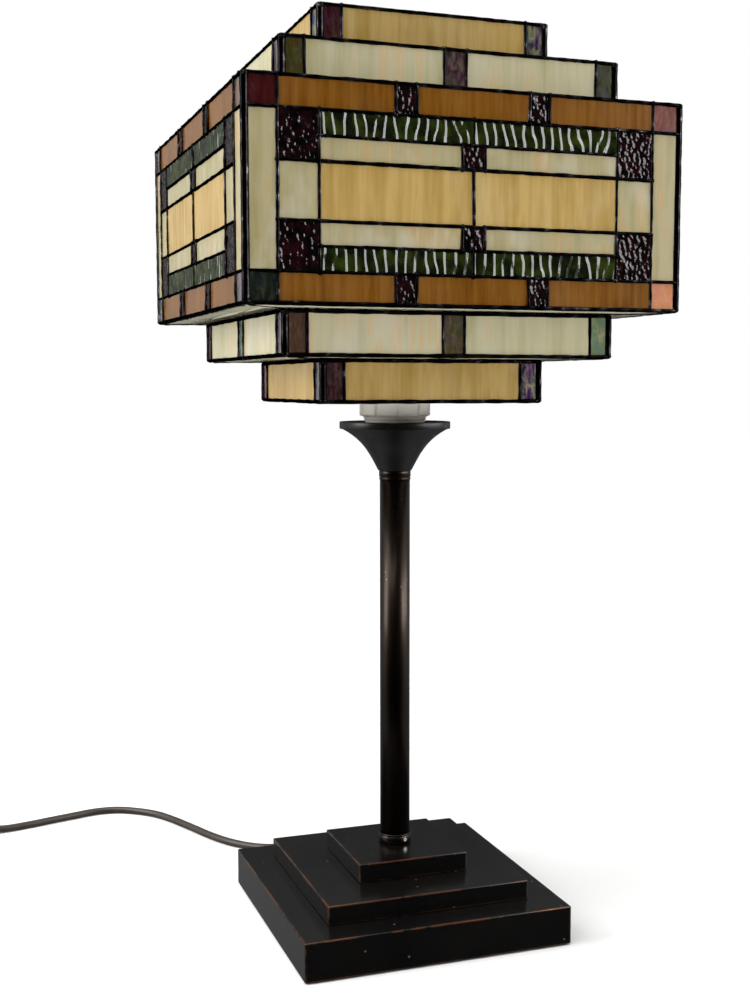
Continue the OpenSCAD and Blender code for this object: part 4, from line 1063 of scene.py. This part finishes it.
def capsule(low, high, corner, brow, up):
    """A long block with round corners in plan and a soft brow on its upper or lower rim."""
    bm = bmesh.new()
    block(bm, low, high)
    half_tall = 0.5 * (high[2] - low[2]) * MM
    upright = [edge for edge in bm.edges if abs(edge.verts[0].co.z - edge.verts[1].co.z) > half_tall]
    eased(bm, upright, corner, 8)
    rim_z = (high[2] if up else low[2]) * MM
    rim = [edge for edge in bm.edges if all(abs(vert.co.z - rim_z) < 0.01 * MM for vert in edge.verts)]
    eased(bm, rim, brow, 4)
    return bm


base_bm = capsule(base_low, base_high, 5.8, 0.8, False)
joined("switch_lower_half", base_bm, moulded, "stand", "switch_base", slot="black_plastic")
lid_bm = capsule(lid_low, lid_high, 5.8, 2.2, True)
middle_x = (rocker_low[0] + rocker_high[0]) / 2
middle_y = (lid_low[1] + lid_high[1]) / 2
for x, y, way in ((middle_x - 11.6, 0, (1, 0, 0)), (middle_x + 11.6, 0, (1, 0, 0)),
                  (0, middle_y - 5.6, (0, 1, 0)), (0, middle_y + 5.6, (0, 1, 0))):
    bmesh.ops.bisect_plane(lid_bm, geom=lid_bm.verts[:] + lid_bm.edges[:] + lid_bm.faces[:], dist=0.000001,
                           plane_co=(x * MM, y * MM, 0), plane_no=way)
well = [face for face in lid_bm.faces if face.normal.z > 0.9
        and abs(face.calc_center_median().x / MM - middle_x) < 11.5
        and abs(face.calc_center_median().y / MM - middle_y) < 5.5
        and face.calc_center_median().z > (lid_high[2] - 0.5) * MM]
sunk = bmesh.ops.extrude_face_region(lid_bm, geom=well)["geom"]
bmesh.ops.translate(lid_bm, verts=[item for item in sunk if isinstance(item, bmesh.types.BMVert)],
                    vec=(0, 0, -8 * MM))
bmesh.ops.delete(lid_bm, geom=[face for face in well if face.is_valid], context="FACES")
joined("switch_upper_half", lid_bm, moulded, "stand", "switch_cover", slot="black_plastic")

rocker_pin = Vector((middle_x, middle_y, 12.6)) * MM
rocker_bm = bmesh.new()
key_faces = block(rocker_bm, (middle_x - 10.6, middle_y - 5, 13.4), (middle_x + 10.6, middle_y + 5, 17.6))
across_edges = {edge for face in key_faces for edge in face.edges
                if abs(edge.verts[0].co.x - edge.verts[1].co.x) > 15 * MM}
bmesh.ops.subdivide_edges(rocker_bm, edges=list(across_edges), cuts=11, use_grid_fill=True)
for vert in rocker_bm.verts:
    if vert.co.z > 17 * MM:
        vert.co.z -= 0.9 * MM * (1 - ((vert.co.x / MM - middle_x) / 10.6) ** 2)
eased(rocker_bm, arrises(rocker_bm, 0.9), 0.4, 2)
block(rocker_bm, (middle_x - 3, middle_y - 4.8, 10.6), (middle_x + 3, middle_y + 4.8, 14))
bmesh.ops.create_cone(rocker_bm, cap_ends=True, segments=20, radius1=1.25 * MM, radius2=1.25 * MM,
                      depth=15.6 * MM,
                      matrix=Matrix.Translation(rocker_pin) @ Matrix.Rotation(math.pi / 2, 4, "X"))
bmesh.ops.rotate(rocker_bm, verts=rocker_bm.verts, cent=rocker_pin,
                 matrix=Matrix.Rotation(math.radians(8), 3, "Y"))
joined("switch_key", rocker_bm, ivory, "switch_rocker", "switch_rocker", slot="rocker_plastic")

# ---------------------------------------------------------------- plug
# A flat two-pin plug moulded on the cord in one piece, with grip ribs across its upper face and
# a short ribbed neck. It lies on the table beside the coil.
plug_low, plug_high = box_mm("plug_body")
plug_y = (plug_low[1] + plug_high[1]) / 2
plug_z = (plug_low[2] + plug_high[2]) / 2
neck_profile = [(bore, 0), (4.2, 0)]
for i in range(3):
    neck_profile += [(4.4 + 0.3 * i, 1 + 3 * i), (4.4 + 0.3 * i, 2.2 + 3 * i),
                     (3.8 + 0.3 * i, 2.5 + 3 * i), (3.8 + 0.3 * i, 3.4 + 3 * i)]
neck_profile += [(5.6, 12), (bore, 12)]
plug_bm = laid_along(turned(neck_profile, 32), (plug_low[0], plug_y, plug_z), (1, 0, 0))
plug_half = plug_high[1] - plug_y
flank = [(8, 7), (10.5, 11.5), (18, plug_half - 2), (plug_high[0] - plug_low[0], plug_half)]
plate = [(x, -y) for x, y in flank] + [(x, y) for x, y in reversed(flank)]
sole = plug_bm.faces.new([plug_bm.verts.new(((plug_low[0] + x) * MM, (plug_y + y) * MM, plug_low[2] * MM))
                          for x, y in plate])
raised = [part for part in bmesh.ops.extrude_face_region(plug_bm, geom=[sole])["geom"]
          if isinstance(part, bmesh.types.BMVert)]
bmesh.ops.translate(plug_bm, verts=raised, vec=(0, 0, (plug_high[2] - plug_low[2]) * MM))
eased(plug_bm, {edge for vert in [*sole.verts, *raised] for edge in vert.link_edges}, 1.8, 4)
for i in range(5):
    grip_x = plug_low[0] + 16.5 + 3 * i
    bar = block(plug_bm, (grip_x, plug_y - 12, plug_high[2] - 0.4),
                (grip_x + 1.5, plug_y + 12, plug_high[2] + 0.5))
    eased(plug_bm, {edge for face in bar for edge in face.edges}, 0.35, 2)
joined("plug_moulding", plug_bm, rubber, "stand", "plug_body", slot="black_plastic")

# ---------------------------------------------------------------- tie
# A flat hook-and-loop strap round the bundle of cord, 8 mm wide, lapped over itself.
tie_low, tie_high = box_mm("coil_tie")
# woven nylon strap: black, with ribs of pile a millimetre apart
strap, tree, shader, place = finish_named("woven_nylon_strap", Roughness=0.85, Sheen_Weight=0.3)
strap_ribs = add(tree, "TexWave", {"Vector": place, "Scale": 320.0, "Distortion": 1.5}, out="Fac",
                 bands_direction="Y")
feed(shader,
     Base_Color=add(tree, "Mix", {"Factor": strap_ribs, "A": "#0C0C0C", "B": "#262626"}, data_type="RGBA"),
     Normal=add(tree, "Bump", {"Height": strap_ribs, "Strength": 0.5, "Distance": 0.0002}))
tie_bm = bmesh.new()
loop_faces = block(tie_bm, tie_low, tie_high)
end_faces = [face for face in loop_faces if abs(face.normal.y) > 0.9]
loop_edges = [edge for edge in tie_bm.edges if abs(edge.verts[0].co.y - edge.verts[1].co.y) > 5 * MM]
bmesh.ops.delete(tie_bm, geom=end_faces, context="FACES_ONLY")
eased(tie_bm, loop_edges, 1.6, 4)
bmesh.ops.recalc_face_normals(tie_bm, faces=tie_bm.faces)
bmesh.ops.solidify(tie_bm, geom=tie_bm.faces[:], thickness=0.8 * MM)
lap_faces = block(tie_bm, (tie_low[0] + 5, tie_low[1] + 0.3, tie_high[2] - 0.1),
                  (tie_high[0] - 4, tie_high[1] - 0.3, tie_high[2] + 0.9))
eased(tie_bm, {edge for face in lap_faces for edge in face.edges}, 0.3, 2)
joined("coil_strap", tie_bm, strap, "stand", "coil_tie", slot="tie_strap")
